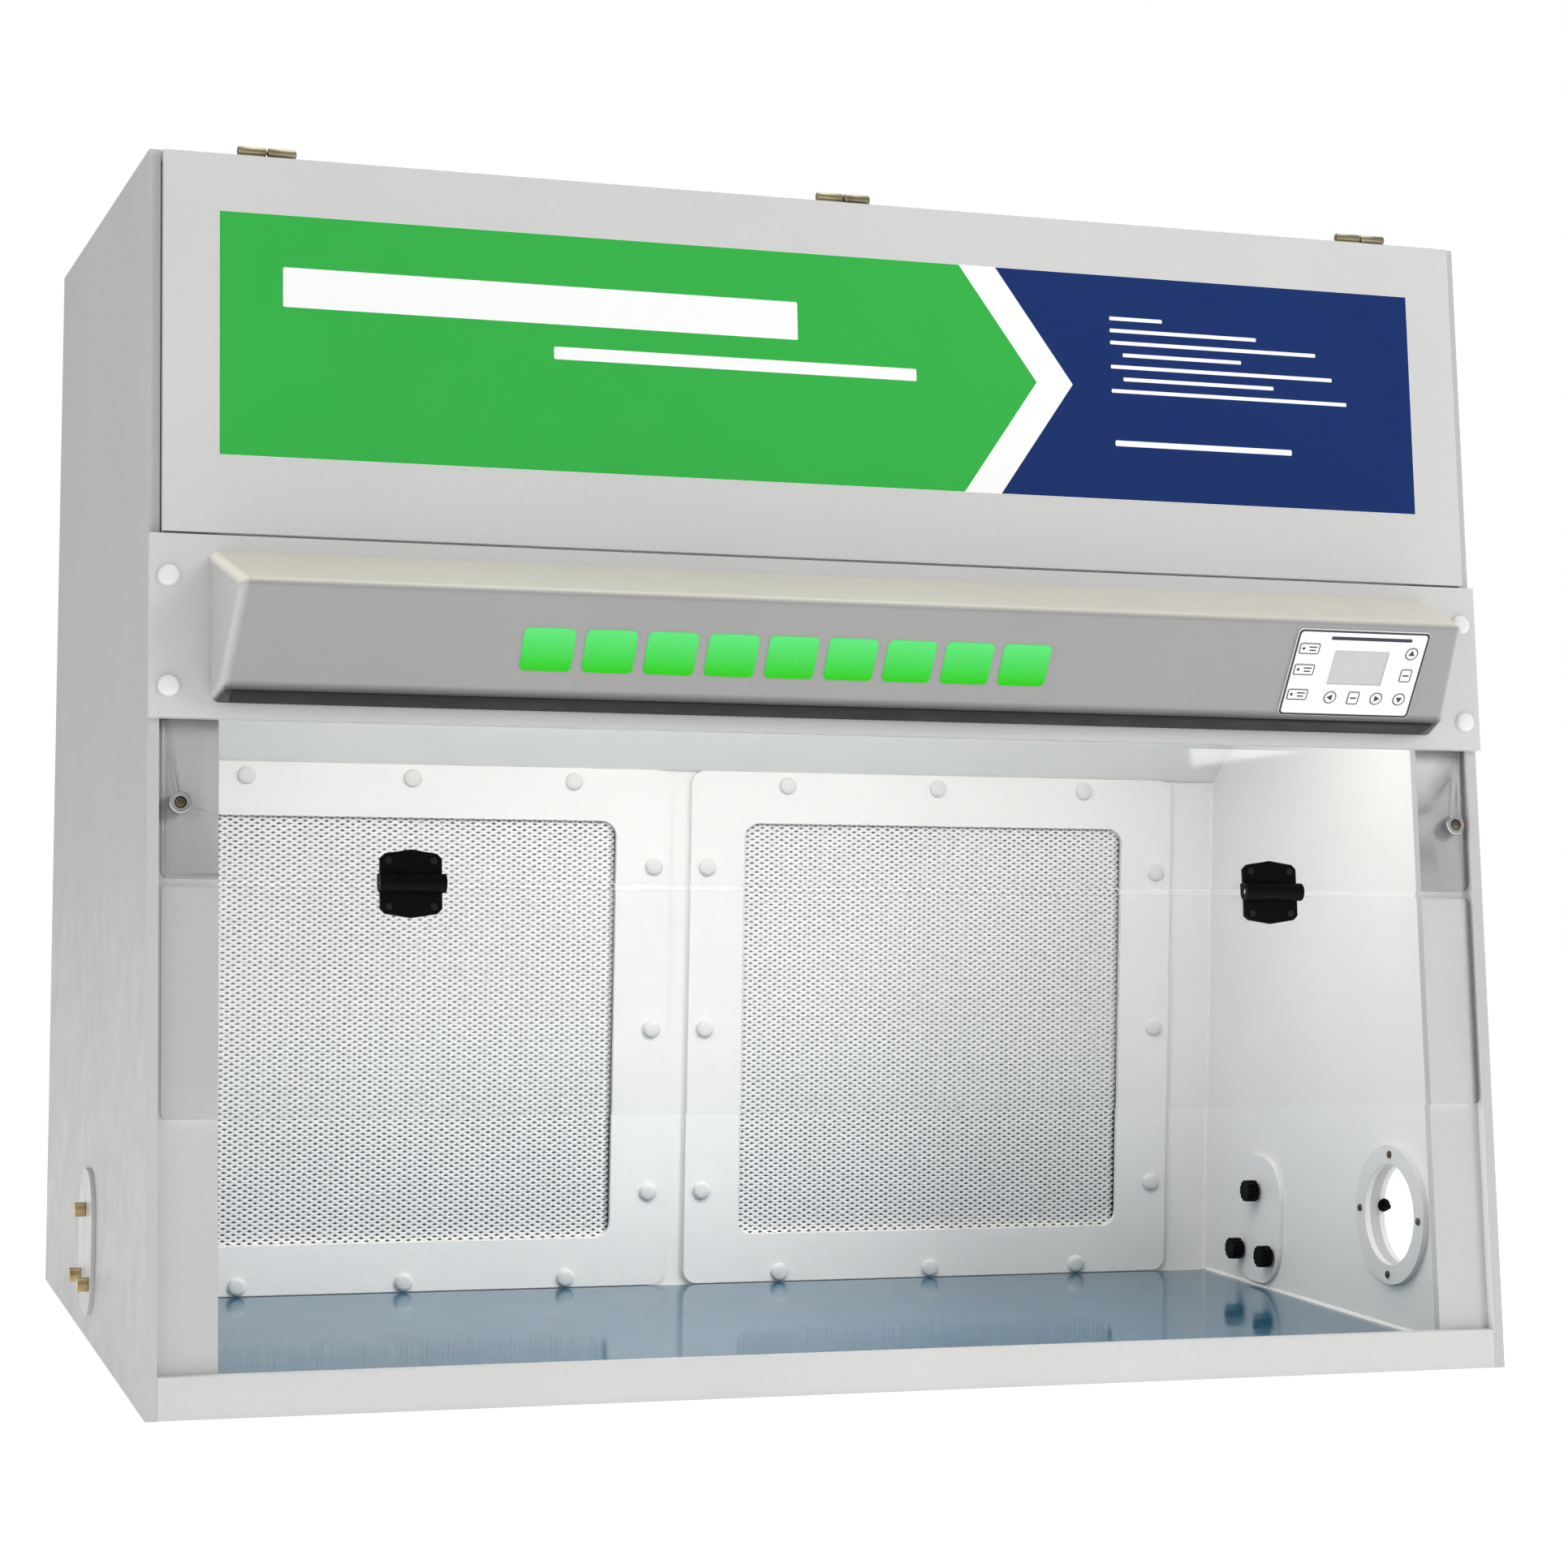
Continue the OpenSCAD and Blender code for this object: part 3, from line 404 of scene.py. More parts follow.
def lit_green(low_z, high_z):
    """A diffuser lit from above: pale green at the top, full green at the bottom."""
    finish, tree, shader, place = new_finish("lit_green")
    split = tree.nodes.new("ShaderNodeSeparateXYZ")
    link(tree, place, split.inputs[0])
    up = spread(tree, split.outputs["Z"], 0.0, 1.0, low_z, high_z)
    grain = spread(tree, noise(tree, place, 300.0, 2.0), -0.04, 0.04)
    level = tree.nodes.new("ShaderNodeMath")
    link(tree, up, level.inputs[0])
    link(tree, grain, level.inputs[1])
    full, pale, unlit = (0.028, 0.69, 0.000), (0.150, 0.93, 0.255), 0.15
    glow = two_tone(tree, level.outputs[0], full, pale, 0.0, 1.0)
    skin = two_tone(tree, level.outputs[0], shade(full, unlit), shade(pale, unlit), 0.0, 1.0)
    link(tree, skin, shader.inputs["Base Color"])
    shader.inputs["Specular IOR Level"].default_value = 0.1
    link(tree, glow, shader.inputs["Emission Color"])
    shader.inputs["Emission Strength"].default_value = 0.72
    shader.inputs["Roughness"].default_value = 0.35
    return finish


def grey_display():
    finish, tree, shader, place = new_finish("grey_display")
    rows = noise(tree, place, 900.0, 1.0, 0.5)
    tone = two_tone(tree, rows, (0.44, 0.45, 0.45), (0.50, 0.51, 0.51))
    link(tree, tone, shader.inputs["Base Color"])
    link(tree, spread(tree, rows, 0.10, 0.16), shader.inputs["Roughness"])
    return finish


def lamp_diffuser():
    finish, tree, shader, place = new_finish("lamp_diffuser")
    ribs = noise(tree, place, 200.0, 1.0, 0.5, (30, 1, 1))
    tone = two_tone(tree, ribs, (0.86, 0.87, 0.86), (0.95, 0.95, 0.94))
    link(tree, tone, shader.inputs["Base Color"])
    link(tree, bump(tree, ribs, 0.0003), shader.inputs["Normal"])
    shader.inputs["Emission Color"].default_value = (1, 1, 0.98, 1)
    shader.inputs["Emission Strength"].default_value = 0.2
    return finish


worktop_blue = poured_blue()
clear_acrylic = clear_sheet()
lit_low, lit_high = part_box("light_segments")
green_light = lit_green(lit_low.z, lit_high.z)
display_grey = grey_display()
diffuser = lamp_diffuser()
print("finishes ready")

# %% [markdown]
# Most CAD pieces already have the right shape: sheets, hinge leaves, rings, the sash panes. They
# keep their place and only need a finish and a softer edge. A bevel rounds each sharp edge by a
# fraction of a millimetre so that it catches a line of light, as a routed plastic edge does. The
# weld in front of it joins the facets that the file format splits, and a planar dissolve makes one
# face of each flat side, so that no bevel runs across the middle of a sheet.

# %% Dress the CAD pieces
def soften(piece, width):
    weld = piece.modifiers.new("join_facets", "WELD")
    weld.merge_threshold = 0.00001
    flat = piece.modifiers.new("one_face_per_plane", "DECIMATE")
    flat.decimate_type = "DISSOLVE"
    flat.angle_limit = math.radians(0.6)
    edge = piece.modifiers.new("soft_edge", "BEVEL")
    edge.width = width
    edge.segments = 2
    edge.limit_method = "ANGLE"
    edge.angle_limit = math.radians(40)
    edge.use_clamp_overlap = True
    face = piece.modifiers.new("flat_faces", "WEIGHTED_NORMAL")
    face.keep_sharp = True


def dress(name, finish, edge=0.0):
    piece = nodes[name]
    piece.data.materials.clear()
    piece.data.materials.append(finish)
    if edge:
        soften(piece, edge * MM)


dressing = [
    (cabinet_sheet, 0.7, ["front_sill", "back_panel", "top_panel", "fascia", "head_door", "base_panel"]),
    (shaded_wall_sheet, 0.7, ["left_wall", "right_wall"]),
    (shaded_stile_sheet, 0.7, ["front_frame"]),
    (inner_sheet, 0.7, ["chamber_ceiling", "rear_baffle", "filter_frames", "filter_shelf", "fan_deck"]),
    (worktop_blue, 0.5, ["worktop"]),
    (clear_acrylic, 0.8, ["upper_pane", "lower_pane"]),
    (white_plastic, 0.5, ["port_rings", "exhaust_grilles"]),
    (plate_plastic, 0.5, ["service_plates"]),
    (diffuser, 1.0, ["chamber_light"]),
    (label_film, 0.2, ["controller_panel"]),
    (display_grey, 0.1, ["controller_display"]),
    (board_mask, 0.2, ["controller_board"]),
    (black_nylon, 0.6, ["sash_hinge_tops", "sash_hinge_flaps", "power_inlet"]),
    (steel, 0.2, ["sash_hinge_pins"]),
    (hinge_screw, 0.25, ["sash_screws", "flap_screws"]),
    (hinge_brass, 0.3, ["door_hinge_pins"]),
    (brass, 0.3, ["service_valves"]),
    (cassette_paint, 1.0, ["main_filters"]),
    (motor_paint, 1.5, ["blower_motors"]),
    (galvanised, 0.3, ["impeller_left", "impeller_right"]),
]
for finish, edge, names in dressing:
    for name in names:
        dress(name, finish, edge)
knobs = [name for name in nodes if name.startswith("knob_")]
keys = [name for name in nodes if name.startswith("key_")]
for name in knobs:
    dress(name, black_nylon, 0.6)
for name in keys:
    dress(name, key_plastic, 0.15)
for name in ("upper_pane", "lower_pane"):
    nodes[name].visible_shadow = False
print("dressed", sum(len(names) for _, _, names in dressing) + len(knobs) + len(keys), "nodes")

# %% [markdown]
# The added pieces are built from outlines. An outline is a list of points in a piece's own X and
# Z, seen from the front; a prism pushes it along Y. A lathe turns a profile round Y. Both return
# plain lists of corners and faces, so several can be joined into one piece before it is placed.

# %% Outline and solid helpers
def rounded(width, height, radius, at=(0, 0), steps=6):
    points = []
    corners = ((1, 1, 0), (-1, 1, 90), (-1, -1, 180), (1, -1, 270))
    for side_x, side_z, start in corners:
        for i in range(steps + 1):
            angle = math.radians(start + 90 * i / steps)
            x = side_x * (width / 2 - radius) + radius * math.cos(angle)
            z = side_z * (height / 2 - radius) + radius * math.sin(angle)
            points.append((at[0] + x, at[1] + z))
    return points


def disc(diameter, at=(0, 0), steps=32):
    return [(at[0] + diameter / 2 * math.cos(math.tau * i / steps),
             at[1] + diameter / 2 * math.sin(math.tau * i / steps)) for i in range(steps)]


def prism(outline, front, back):
    count = len(outline)
    corners = [(x, front, z) for x, z in outline] + [(x, back, z) for x, z in outline]
    faces = [tuple(range(count)), tuple(range(2 * count - 1, count - 1, -1))]
    for i in range(count):
        j = (i + 1) % count
        faces.append((j, i, count + i, count + j))
    return corners, faces


def band(outer, inner, front, back):
    """A flat ring between two outlines with the same number of points."""
    count = len(outer)
    corners = []
    for y in (front, back):
        corners += [(x, y, z) for x, z in outer] + [(x, y, z) for x, z in inner]
    faces = []
    for i in range(count):
        j = (i + 1) % count
        faces.append((i, j, count + j, count + i))
        faces.append((2 * count + j, 2 * count + i, 3 * count + i, 3 * count + j))
        faces.append((j, i, 2 * count + i, 2 * count + j))
        faces.append((count + i, count + j, 3 * count + j, 3 * count + i))
    return corners, faces


def lathe(profile, steps=32):
    """Turns (radius, y) points round the Y axis. A radius of zero makes a closed end."""
    corners, faces, rows = [], [], []
    for radius, y in profile:
        if radius == 0:
            rows.append([len(corners)] * steps)
            corners.append((0, y, 0))
            continue
        rows.append(list(range(len(corners), len(corners) + steps)))
        for i in range(steps):
            angle = math.tau * i / steps
            corners.append((radius * math.cos(angle), y, radius * math.sin(angle)))
    for a, b in zip(rows, rows[1:]):
        for i in range(steps):
            j = (i + 1) % steps
            loop = [a[i], a[j], b[j], b[i]]
            face = [v for k, v in enumerate(loop) if v not in loop[:k]]
            if len(face) > 2:
                faces.append(tuple(face))
    return corners, faces


def moved(part, place):
    corners, faces = part
    if not isinstance(place, Matrix):
        place = Matrix.Translation(place)
    return [tuple(place @ Vector(c)) for c in corners], faces


def joined(parts):
    corners, faces = [], []
    for part_corners, part_faces in parts:
        start = len(corners)
        corners += part_corners
        faces += [tuple(start + i for i in face) for face in part_faces]
    return corners, faces


def make(name, part, finish, body, place=None, edge=0.0, smooth=30):
    """Builds one piece in millimetres, places it and lets it ride on a body."""
    corners, faces = part
    mesh = bpy.data.meshes.new(name)
    mesh.from_pydata([tuple(MM * v for v in c) for c in corners], [], faces)
    mesh.validate()
    if place is not None:
        mesh.transform(place)
    mesh.materials.append(finish)
    tidy = bmesh.new()
    tidy.from_mesh(mesh)
    bmesh.ops.recalc_face_normals(tidy, faces=tidy.faces)
    tidy.to_mesh(mesh)
    tidy.free()
    piece = bpy.data.objects.new(name, mesh)
    scene.collection.objects.link(piece)
    if edge:
        bevel = piece.modifiers.new("soft_edge", "BEVEL")
        bevel.width = edge * MM
        bevel.segments = 2
        bevel.limit_method = "ANGLE"
        bevel.angle_limit = math.radians(40)
    mesh.shade_smooth()
    if smooth:
        mesh.set_sharp_from_angle(angle=math.radians(smooth))
    if edge:
        face = piece.modifiers.new("flat_faces", "WEIGHTED_NORMAL")
        face.keep_sharp = True
    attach(piece, body)
    return piece


# %% [markdown]
# The canopy is one sheet of plastic drawn over a block in a vacuum former. Its edges therefore
# have generous radii, its ends lean inwards so that it leaves the mould, and its wall is even.
# A box with its outer edges bevelled and a solidify modifier says exactly that. It is open at
# the back, where it sits on the fascia.

# %% Canopy shell
FACE_H = 99
FACE_FOOT = (30, 584.3)
CANOPY_LOW = 576
CANOPY_HIGH = 702
SHEET_T = 9.5
CANOPY_HALF = 561
END_DRAFT = math.tan(math.radians(8.8))
MOULD_RADIUS = 9
WINDOW = (124, 74)


def on_front(along, depth):
    """Side-view point at a length along the front and a depth behind it, in millimetres."""
    sine, cosine = math.sin(LEAN), math.cos(LEAN)
    return along * sine + depth * cosine, along * cosine - depth * sine


def depth_of(y, z):
    """How far a side-view point stands in front of the fascia's face."""
    return -(y * math.cos(LEAN) - z * math.sin(LEAN)) - SHEET_T


profile = [
    on_front(CANOPY_LOW, -SHEET_T),
    FACE_FOOT,
    (FACE_FOOT[0] - FACE_H * math.sin(FACE_TILT), FACE_FOOT[1] + FACE_H * math.cos(FACE_TILT)),
    on_front(CANOPY_HIGH, -SHEET_T),
]


def cut_window(shell):
    """Opens the canopy's face behind the key panel, so that the keys can be pressed."""
    seat = BODY.inverted() @ PANEL
    centre = seat.translation / MM
    turn = seat.to_3x3()
    out, up, right = turn @ Vector((0, -1, 0)), turn @ Vector((0, 0, 1)), Vector((1, 0, 0))

    def front_faces():
        return [f for f in shell.faces if f.normal.dot(out) > 0.999]

    for way, half in ((right, WINDOW[0] / 2), (up, WINDOW[1] / 2)):
        for side in (-1, 1):
            faces = front_faces()
            parts = {e for f in faces for e in f.edges} | {v for f in faces for v in f.verts} | set(faces)
            line = centre + way * half * side
            bmesh.ops.bisect_plane(shell, geom=list(parts), plane_co=line, plane_no=way)
            shell.normal_update()
    inside = []
    for face in front_faces():
        away = face.calc_center_median() - centre
        if abs(away.dot(right)) < WINDOW[0] / 2 and abs(away.dot(up)) < WINDOW[1] / 2:
            inside.append(face)
    bmesh.ops.delete(shell, geom=inside, context="FACES")
    print("window cut in", len(inside), "face")


def canopy_shell():
    shell = bmesh.new()
    ends = []
    for side in (-1, 1):
        ends.append([shell.verts.new((side * (CANOPY_HALF - depth_of(y, z) * END_DRAFT), y, z))
                     for y, z in profile])
    left, right = ends
    for i in range(3):
        shell.faces.new((left[i], right[i], right[i + 1], left[i + 1]))
    shell.faces.new(left)
    shell.faces.new(right[::-1])
    bmesh.ops.recalc_face_normals(shell, faces=shell.faces)
    shell.edges.ensure_lookup_table()
    outer = [e for e in shell.edges if len(e.link_faces) == 2]
    bmesh.ops.bevel(shell, geom=outer, offset=MOULD_RADIUS, segments=6, profile=0.5,
                    affect="EDGES", clamp_overlap=True)
    cut_window(shell)
    bmesh.ops.scale(shell, vec=(MM, MM, MM), verts=shell.verts)
    mesh = bpy.data.meshes.new("canopy_shell")
    shell.to_mesh(mesh)
    shell.free()
    mesh.transform(BODY)
    mesh.materials.append(canopy_skin)
    mesh.shade_smooth()
    piece = bpy.data.objects.new("canopy_shell", mesh)
    scene.collection.objects.link(piece)
    wall = piece.modifiers.new("wall", "SOLIDIFY")
    wall.thickness = 4 * MM
    wall.offset = -1
    soft = piece.modifiers.new("flat_faces", "WEIGHTED_NORMAL")
    soft.keep_sharp = False
    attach(piece, "cabinet")
    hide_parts("canopy")
    return piece


canopy_piece = canopy_shell()
print("canopy shell has", len(canopy_piece.data.polygons), "faces before its wall")

# %% [markdown]
# Under the canopy runs a smoked strip with rounded long edges. It hides the lamp that lights
# the work from above. Its near-black colour is partly the smoked lens and partly painted shade,
# the shade under the canopy, so it reads as a nearly black lip.

# %% Strip under the canopy
def lip_strip():
    foot, back = Vector(FACE_FOOT), Vector(profile[0])
    run = (back - foot).normalized()
    out = Vector((run.y, -run.x))
    inset, thick = 5.5, 2.0
    rim = []
    for along, rise in ((0, 0), (0.6, 0.7), (1.8, 1), (None, 1), (None, 0)):
        reach = (back - foot).length - 4 if along is None else inset + along
        point = foot + run * reach + out * (thick * rise - 0.2)
        rim.append((point.x, point.y))
    half = CANOPY_HALF - 16
    corners = [(side * half, y, z) for side in (-1, 1) for y, z in rim]
    count = len(rim)
    faces = [tuple(range(count)), tuple(range(2 * count - 1, count - 1, -1))]
    faces += [(i, (i + 1) % count, count + (i + 1) % count, count + i) for i in range(count)]
    piece = make("canopy_strip", (corners, faces), smoked_lens_and_shade, "cabinet", BODY, 0.4)
    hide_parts("canopy_lens")
    return piece


lip_strip()

# %% [markdown]
# Nine plain lit blocks stand where a maker's lit mark would be. Each is a diffuser with rounded
# corners that stands just proud of the canopy's face.

# %% Lit blocks
LIT_COUNT = 9
LIT_W = 44
LIT_H = 40
FACE_AXIS = Matrix.Rotation(FACE_TILT, 4, "X")
lit_middle = middle("light_segments")
LIT = Matrix.Translation(lit_middle) @ FACE_AXIS
lit_pitch = (lit_high.x - lit_low.x - LIT_W * MM) / (LIT_COUNT - 1) / MM
lit_front = -2.9


def lit_block(index):
    at = ((index - (LIT_COUNT - 1) / 2) * lit_pitch, 0)
    return prism(rounded(LIT_W, LIT_H, 5, at), lit_front, 1.0)


blocks = make("lit_blocks", joined([lit_block(i) for i in range(LIT_COUNT)]), green_light,
              "cabinet", LIT, 0.8)
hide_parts("light_segments")
print("lit blocks every", round(lit_pitch, 2), "mm")

# %% [markdown]
# White push-on caps cover the studs of the prefilter frames and the fascia. They are low domes
# with a rounded rim and a small step where they seat. A lathe profile gives one, and the rest
# are copies: twelve round each frame and four on the fascia.

# %% Domed caps
CAP_RING = 251.5
CAP_PITCH = 166
CAP_INSET = 6
FASCIA_CAPS = (26, 117)
CAP_PROFILE = [(0, -5.0), (4.0, -4.9), (6.6, -4.5), (8.0, -3.6), (8.8, -2.2), (9.0, -0.9), (9.0, 0.0)]
frame_low, frame_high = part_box("filter_frames")
grille_low, grille_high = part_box("filter_grilles")
FRAME_X = 280
filter_x = (grille_low.x + grille_high.x) / 2 + FRAME_X * MM
filter_z = (grille_low.z + grille_high.z) / 2
cap = lathe(CAP_PROFILE, 36)


def frame_caps(centre_x):
    places = []
    for side in (-1, 1):
        for step in (-1, 0, 1):
            places.append((side * CAP_RING, step * CAP_PITCH))
            places.append((step * CAP_PITCH, side * CAP_RING))
    y, z = frame_low.y / MM, filter_z / MM
    return [moved(cap, (centre_x / MM + dx, y, z + dz)) for dx, dz in places]


def fascia_caps():
    fascia_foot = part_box("fascia")[0].z / MM / math.cos(LEAN)
    x = outer_x / MM - SHEET_T - CAP_INSET
    caps = []
    for side in (-1, 1):
        for along in FASCIA_CAPS:
            y, z = on_front(fascia_foot + along, -SHEET_T)
            caps.append(moved(cap, Matrix.Translation((side * x, y + front_edge / MM, z))
                              @ Matrix.Rotation(-LEAN, 4, "X")))
    return caps


all_caps = frame_caps(-filter_x) + frame_caps(filter_x) + fascia_caps()
caps = make("stud_caps", joined(all_caps), white_plastic, "cabinet", smooth=50)
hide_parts("cap_screws")
print(len(all_caps), "caps")

# %% [markdown]
# The face of each prefilter is expanded sheet: slit, stretched and lightly flattened, so its
# openings are short slots in staggered rows and every strand is tipped a little. Each cell is a
# diamond with a smaller diamond cut out. Tipping the upper corner of a hole inwards and its lower
# corner outwards gives the strands their twist, and a solidify modifier their gauge.

# %% Expanded mesh
MESH_W = 10.6
MESH_H = 6.1
SLOT_HALF_W = 3.0
SLOT_HALF_H = 1.1
TWIST = 0.4
GRILLE_SIDE = 430


def mesh_sheet(centre_x):
    corners, faces, index = [], [], {}

    def corner(x, y, z):
        key = (round(x, 3), round(z, 3))
        if key not in index:
            index[key] = len(corners)
            corners.append((x, y, z))
        return index[key]

    columns = int(GRILLE_SIDE / MESH_W)
    rows = int(GRILLE_SIDE / MESH_H * 2)
    for row in range(rows):
        offset = 0.5 if row % 2 else 0.0
        z = (row - rows / 2) * MESH_H / 2
        for column in range(columns):
            x = (column - columns / 2 + offset) * MESH_W
            rim = [corner(x + MESH_W / 2, 0, z), corner(x, 0, z + MESH_H / 2),
                   corner(x - MESH_W / 2, 0, z), corner(x, 0, z - MESH_H / 2)]
            hole = [corner(x + SLOT_HALF_W, 0, z), corner(x, TWIST, z + SLOT_HALF_H),
                    corner(x - SLOT_HALF_W, 0, z), corner(x, -TWIST, z - SLOT_HALF_H)]
            for i in range(4):
                j = (i + 1) % 4
                faces.append((rim[i], rim[j], hole[j], hole[i]))
    y = (grille_low.y + 0.0006) / MM
    return moved((corners, faces), (centre_x / MM, y, filter_z / MM))


def grille(name, centre_x):
    piece = make(name, mesh_sheet(centre_x), white_mesh, "cabinet", smooth=60)
    wall = piece.modifiers.new("gauge", "SOLIDIFY")
    wall.thickness = 0.9 * MM
    wall.offset = 0
    return piece


grilles = [grille("mesh_left", -filter_x), grille("mesh_right", filter_x)]
for piece in grilles:
    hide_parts("filter_grilles")
print("each grille has", len(grilles[0].data.polygons), "strand faces")

# %% [markdown]
# Behind the mesh stands the pleated paper, folded every 22 mm in a card frame. Its folds are
# rounded, so the pleat is a softened zigzag rather than a saw tooth; their crests nearly touch
# the mesh and show through it as pale upright bands.

# %% Pleated prefilters
PLEAT_PITCH = 22
PLEAT_DEPTH = 16
TRAY_SIDE = 468
CARD_T = 6
paper_low, paper_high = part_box("prefilters")


def pleat_wave(x):
    """Depth of the paper at x: a zigzag with its peaks rounded off."""
    phase = (x / PLEAT_PITCH) % 1.0
    zigzag = abs(2 * phase - 1)
    return PLEAT_DEPTH * (0.5 - 0.5 * math.cos(math.pi * zigzag)) * 0.45 + PLEAT_DEPTH * zigzag * 0.55


def pleated_paper(centre_x):
    inside = TRAY_SIDE - 2 * CARD_T
    steps = 12
    count = int(inside / PLEAT_PITCH * steps)
    corners, faces = [], []
    for i in range(count + 1):
        x = -inside / 2 + inside * i / count
        y = pleat_wave(x)
        corners += [(x, y, -inside / 2), (x, y, inside / 2)]
    for i in range(count):
        faces.append((2 * i, 2 * i + 2, 2 * i + 3, 2 * i + 1))
    y = paper_low.y / MM + 0.8
    return moved((corners, faces), (centre_x / MM, y, filter_z / MM))


def card_frame(centre_x):
    outer = rounded(TRAY_SIDE, TRAY_SIDE, 1.5)
    inner = rounded(TRAY_SIDE - 2 * CARD_T, TRAY_SIDE - 2 * CARD_T, 1)
    frame_part = band(outer, inner, 0, (paper_high.y - paper_low.y) / MM)
    return moved(frame_part, (centre_x / MM, paper_low.y / MM, filter_z / MM))


for side, name in ((-1, "left"), (1, "right")):
    centre_x = side * filter_x
    paper = make("pleats_" + name, pleated_paper(centre_x), filter_paper, "cabinet")
    wall = paper.modifiers.new("gauge", "SOLIDIFY")
    wall.thickness = 0.8 * MM
    card = make("card_frame_" + name, card_frame(centre_x), filter_paper, "cabinet",
                edge=0.5)
    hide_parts("prefilters")
    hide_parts("prefilters")

# %% [markdown]
# The head door carries one printed film: a white ground, a green field with an arrow-shaped end
# and a navy field that follows it. The printed words of the real hood are left out; plain white
# bars keep the weight of the print. Each colour is a thin layer a few hundredths of a millimetre
# above the one under it, so no two faces share a plane.

# %% Door film
FILM_HALF = 553
FILM_T = 0.30
INK_T = 0.06
INK_INSET = 0.3
CHEVRON = 72
GREEN_END = 105
NAVY_START = 140
FILM_FOOT = 777
FILM_TOP = 983
film_low = FILM_FOOT / math.cos(LEAN)
film_high = FILM_TOP / math.cos(LEAN)
film_mid = (film_low + film_high) / 2


def layer(outline, level):
    """A printed layer on the door: level 0 is the film itself, higher ones are inks on it."""
    back = -SHEET_T if level == 0 else -SHEET_T - FILM_T - (level - 1) * INK_T
    front = -SHEET_T - FILM_T - level * INK_T
    return prism(outline, front, back)


ground = rounded(2 * FILM_HALF, film_high - film_low, 1.0, (0, film_mid))
ink_edge, ink_low, ink_high = FILM_HALF - INK_INSET, film_low + INK_INSET, film_high - INK_INSET
green = [(-ink_edge, ink_low), (GREEN_END, ink_low), (GREEN_END + CHEVRON, film_mid),
         (GREEN_END, ink_high), (-ink_edge, ink_high)]
navy = [(ink_edge, ink_low), (ink_edge, ink_high), (NAVY_START, ink_high),
        (NAVY_START + CHEVRON, film_mid), (NAVY_START, ink_low)]


def bar(left, width, height, z):
    return layer(rounded(width, height, min(1.5, height / 4), (left + width / 2, z)), 2)


title_bars = [bar(-500, 452, 34, film_high - 62), bar(-268, 330, 11, film_high - 104)]
rows = ((250, 52), (250, 146), (250, 206), (262, 118), (250, 222), (262, 150), (250, 236))
note_bars = [bar(left, width, 3.4, film_high - 40 - 11.2 * i) for i, (left, width) in enumerate(rows)]
note_bars.append(bar(252, 176, 5.2, film_low + 52))

film = make("door_film", layer(ground, 0), film_white, "head_door", FRONT)
make("film_green_field", layer(green, 1), film_green, "head_door", FRONT)
make("film_navy_field", layer(navy, 1), film_navy, "head_door", FRONT)
make("film_bars", joined(title_bars + note_bars), film_white, "head_door", FRONT)
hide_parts("door_decal")
print("film", round(2 * FILM_HALF), "x", round(film_high - film_low), "mm")

# %% [markdown]
# The key panel is a membrane label. Its dark border and the outlines round the keys are printed,
# the keys are embossed and move, so everything drawn on a key rides on that key's own body. The
# symbols are plain: arrowheads, a dot, and short bars where the words were.

# %% Key panel print
PANEL_W = 130
PANEL_H = 86
PRINT = 0.12
KEY_PRINT = 0.10
panel_face = -PANEL_T / MM

border = band(rounded(PANEL_W - 0.6, PANEL_H - 0.6, 4), rounded(PANEL_W - 4.6, PANEL_H - 4.6, 3),
              panel_face - PRINT, panel_face - 0.01)
title = prism(rounded(80, 3.4, 0.8, (8, 35)), panel_face - PRINT, panel_face - 0.01)
make("panel_border", joined([border, title]), dark_ink, "cabinet", PANEL)

key_face = panel_face - 0.4


def key_middle(name):
    """Middle of a key in the panel's own X and Z, in millimetres."""
    local = PANEL.inverted() @ middle(name)
    return local.x / MM, local.z / MM


def arrow(at, turn, size=3.6):
    points = []
    for k in range(3):
        angle = math.radians(turn + 120 * k)
        points.append((at[0] + size * math.cos(angle), at[1] + size * math.sin(angle)))
    return points


def key_outline(name):
    low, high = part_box(name)
    width = (high.x - low.x) / MM
    if width > 15:
        return "wide", 20, 11, 2
    if width > 12:
        return "round", 12.5, 12.5, 6.2
    return "upright", 11.5, 13, 2


ARROW_TURN = {"key_up": 90, "key_down": 270, "key_left": 180, "key_right": 0}


def key_print(name):
    kind, width, height, radius = key_outline(name)
    at = key_middle(name)
    front, back = key_face - KEY_PRINT, key_face - 0.01
    parts = [band(rounded(width - 0.3, height - 0.3, radius, at),
                  rounded(width - 2.1, height - 2.1, max(0.8, radius - 0.9), at), front, back)]
    if kind == "round":
        parts.append(prism(arrow(at, ARROW_TURN[name]), front, back))
    elif kind == "upright":
        parts.append(prism(rounded(6.5, 1.5, 0.7, at), front, back))
    else:
        parts.append(prism(disc(2.8, (at[0] - 5.8, at[1]), 20), front, back))
        parts.append(prism(rounded(8, 1.3, 0.6, (at[0] + 3.2, at[1] + 1.6)), front, back))
        parts.append(prism(rounded(6.4, 1.3, 0.6, (at[0] + 3.2, at[1] - 1.6)), front, back))
    return make(name + "_print", joined(parts), dark_ink, name, PANEL)


for name in keys:
    key_print(name)
print(len(keys), "keys printed")

# %% [markdown]
# The display is a liquid-crystal glass in a thin bezel. Its pale segments are off, so it only
# shows a grey field with a slightly darker rim.

# %% Display rim
DISPLAY_W = 54
DISPLAY_H = 34
display_at = (2, 6)
rim = band(rounded(DISPLAY_W + 0.6, DISPLAY_H + 0.6, 1.2, display_at),
           rounded(DISPLAY_W - 1.4, DISPLAY_H - 1.4, 0.8, display_at), panel_face - 0.06, panel_face + 0.28)
make("display_rim", rim, display_grey, "cabinet", PANEL)

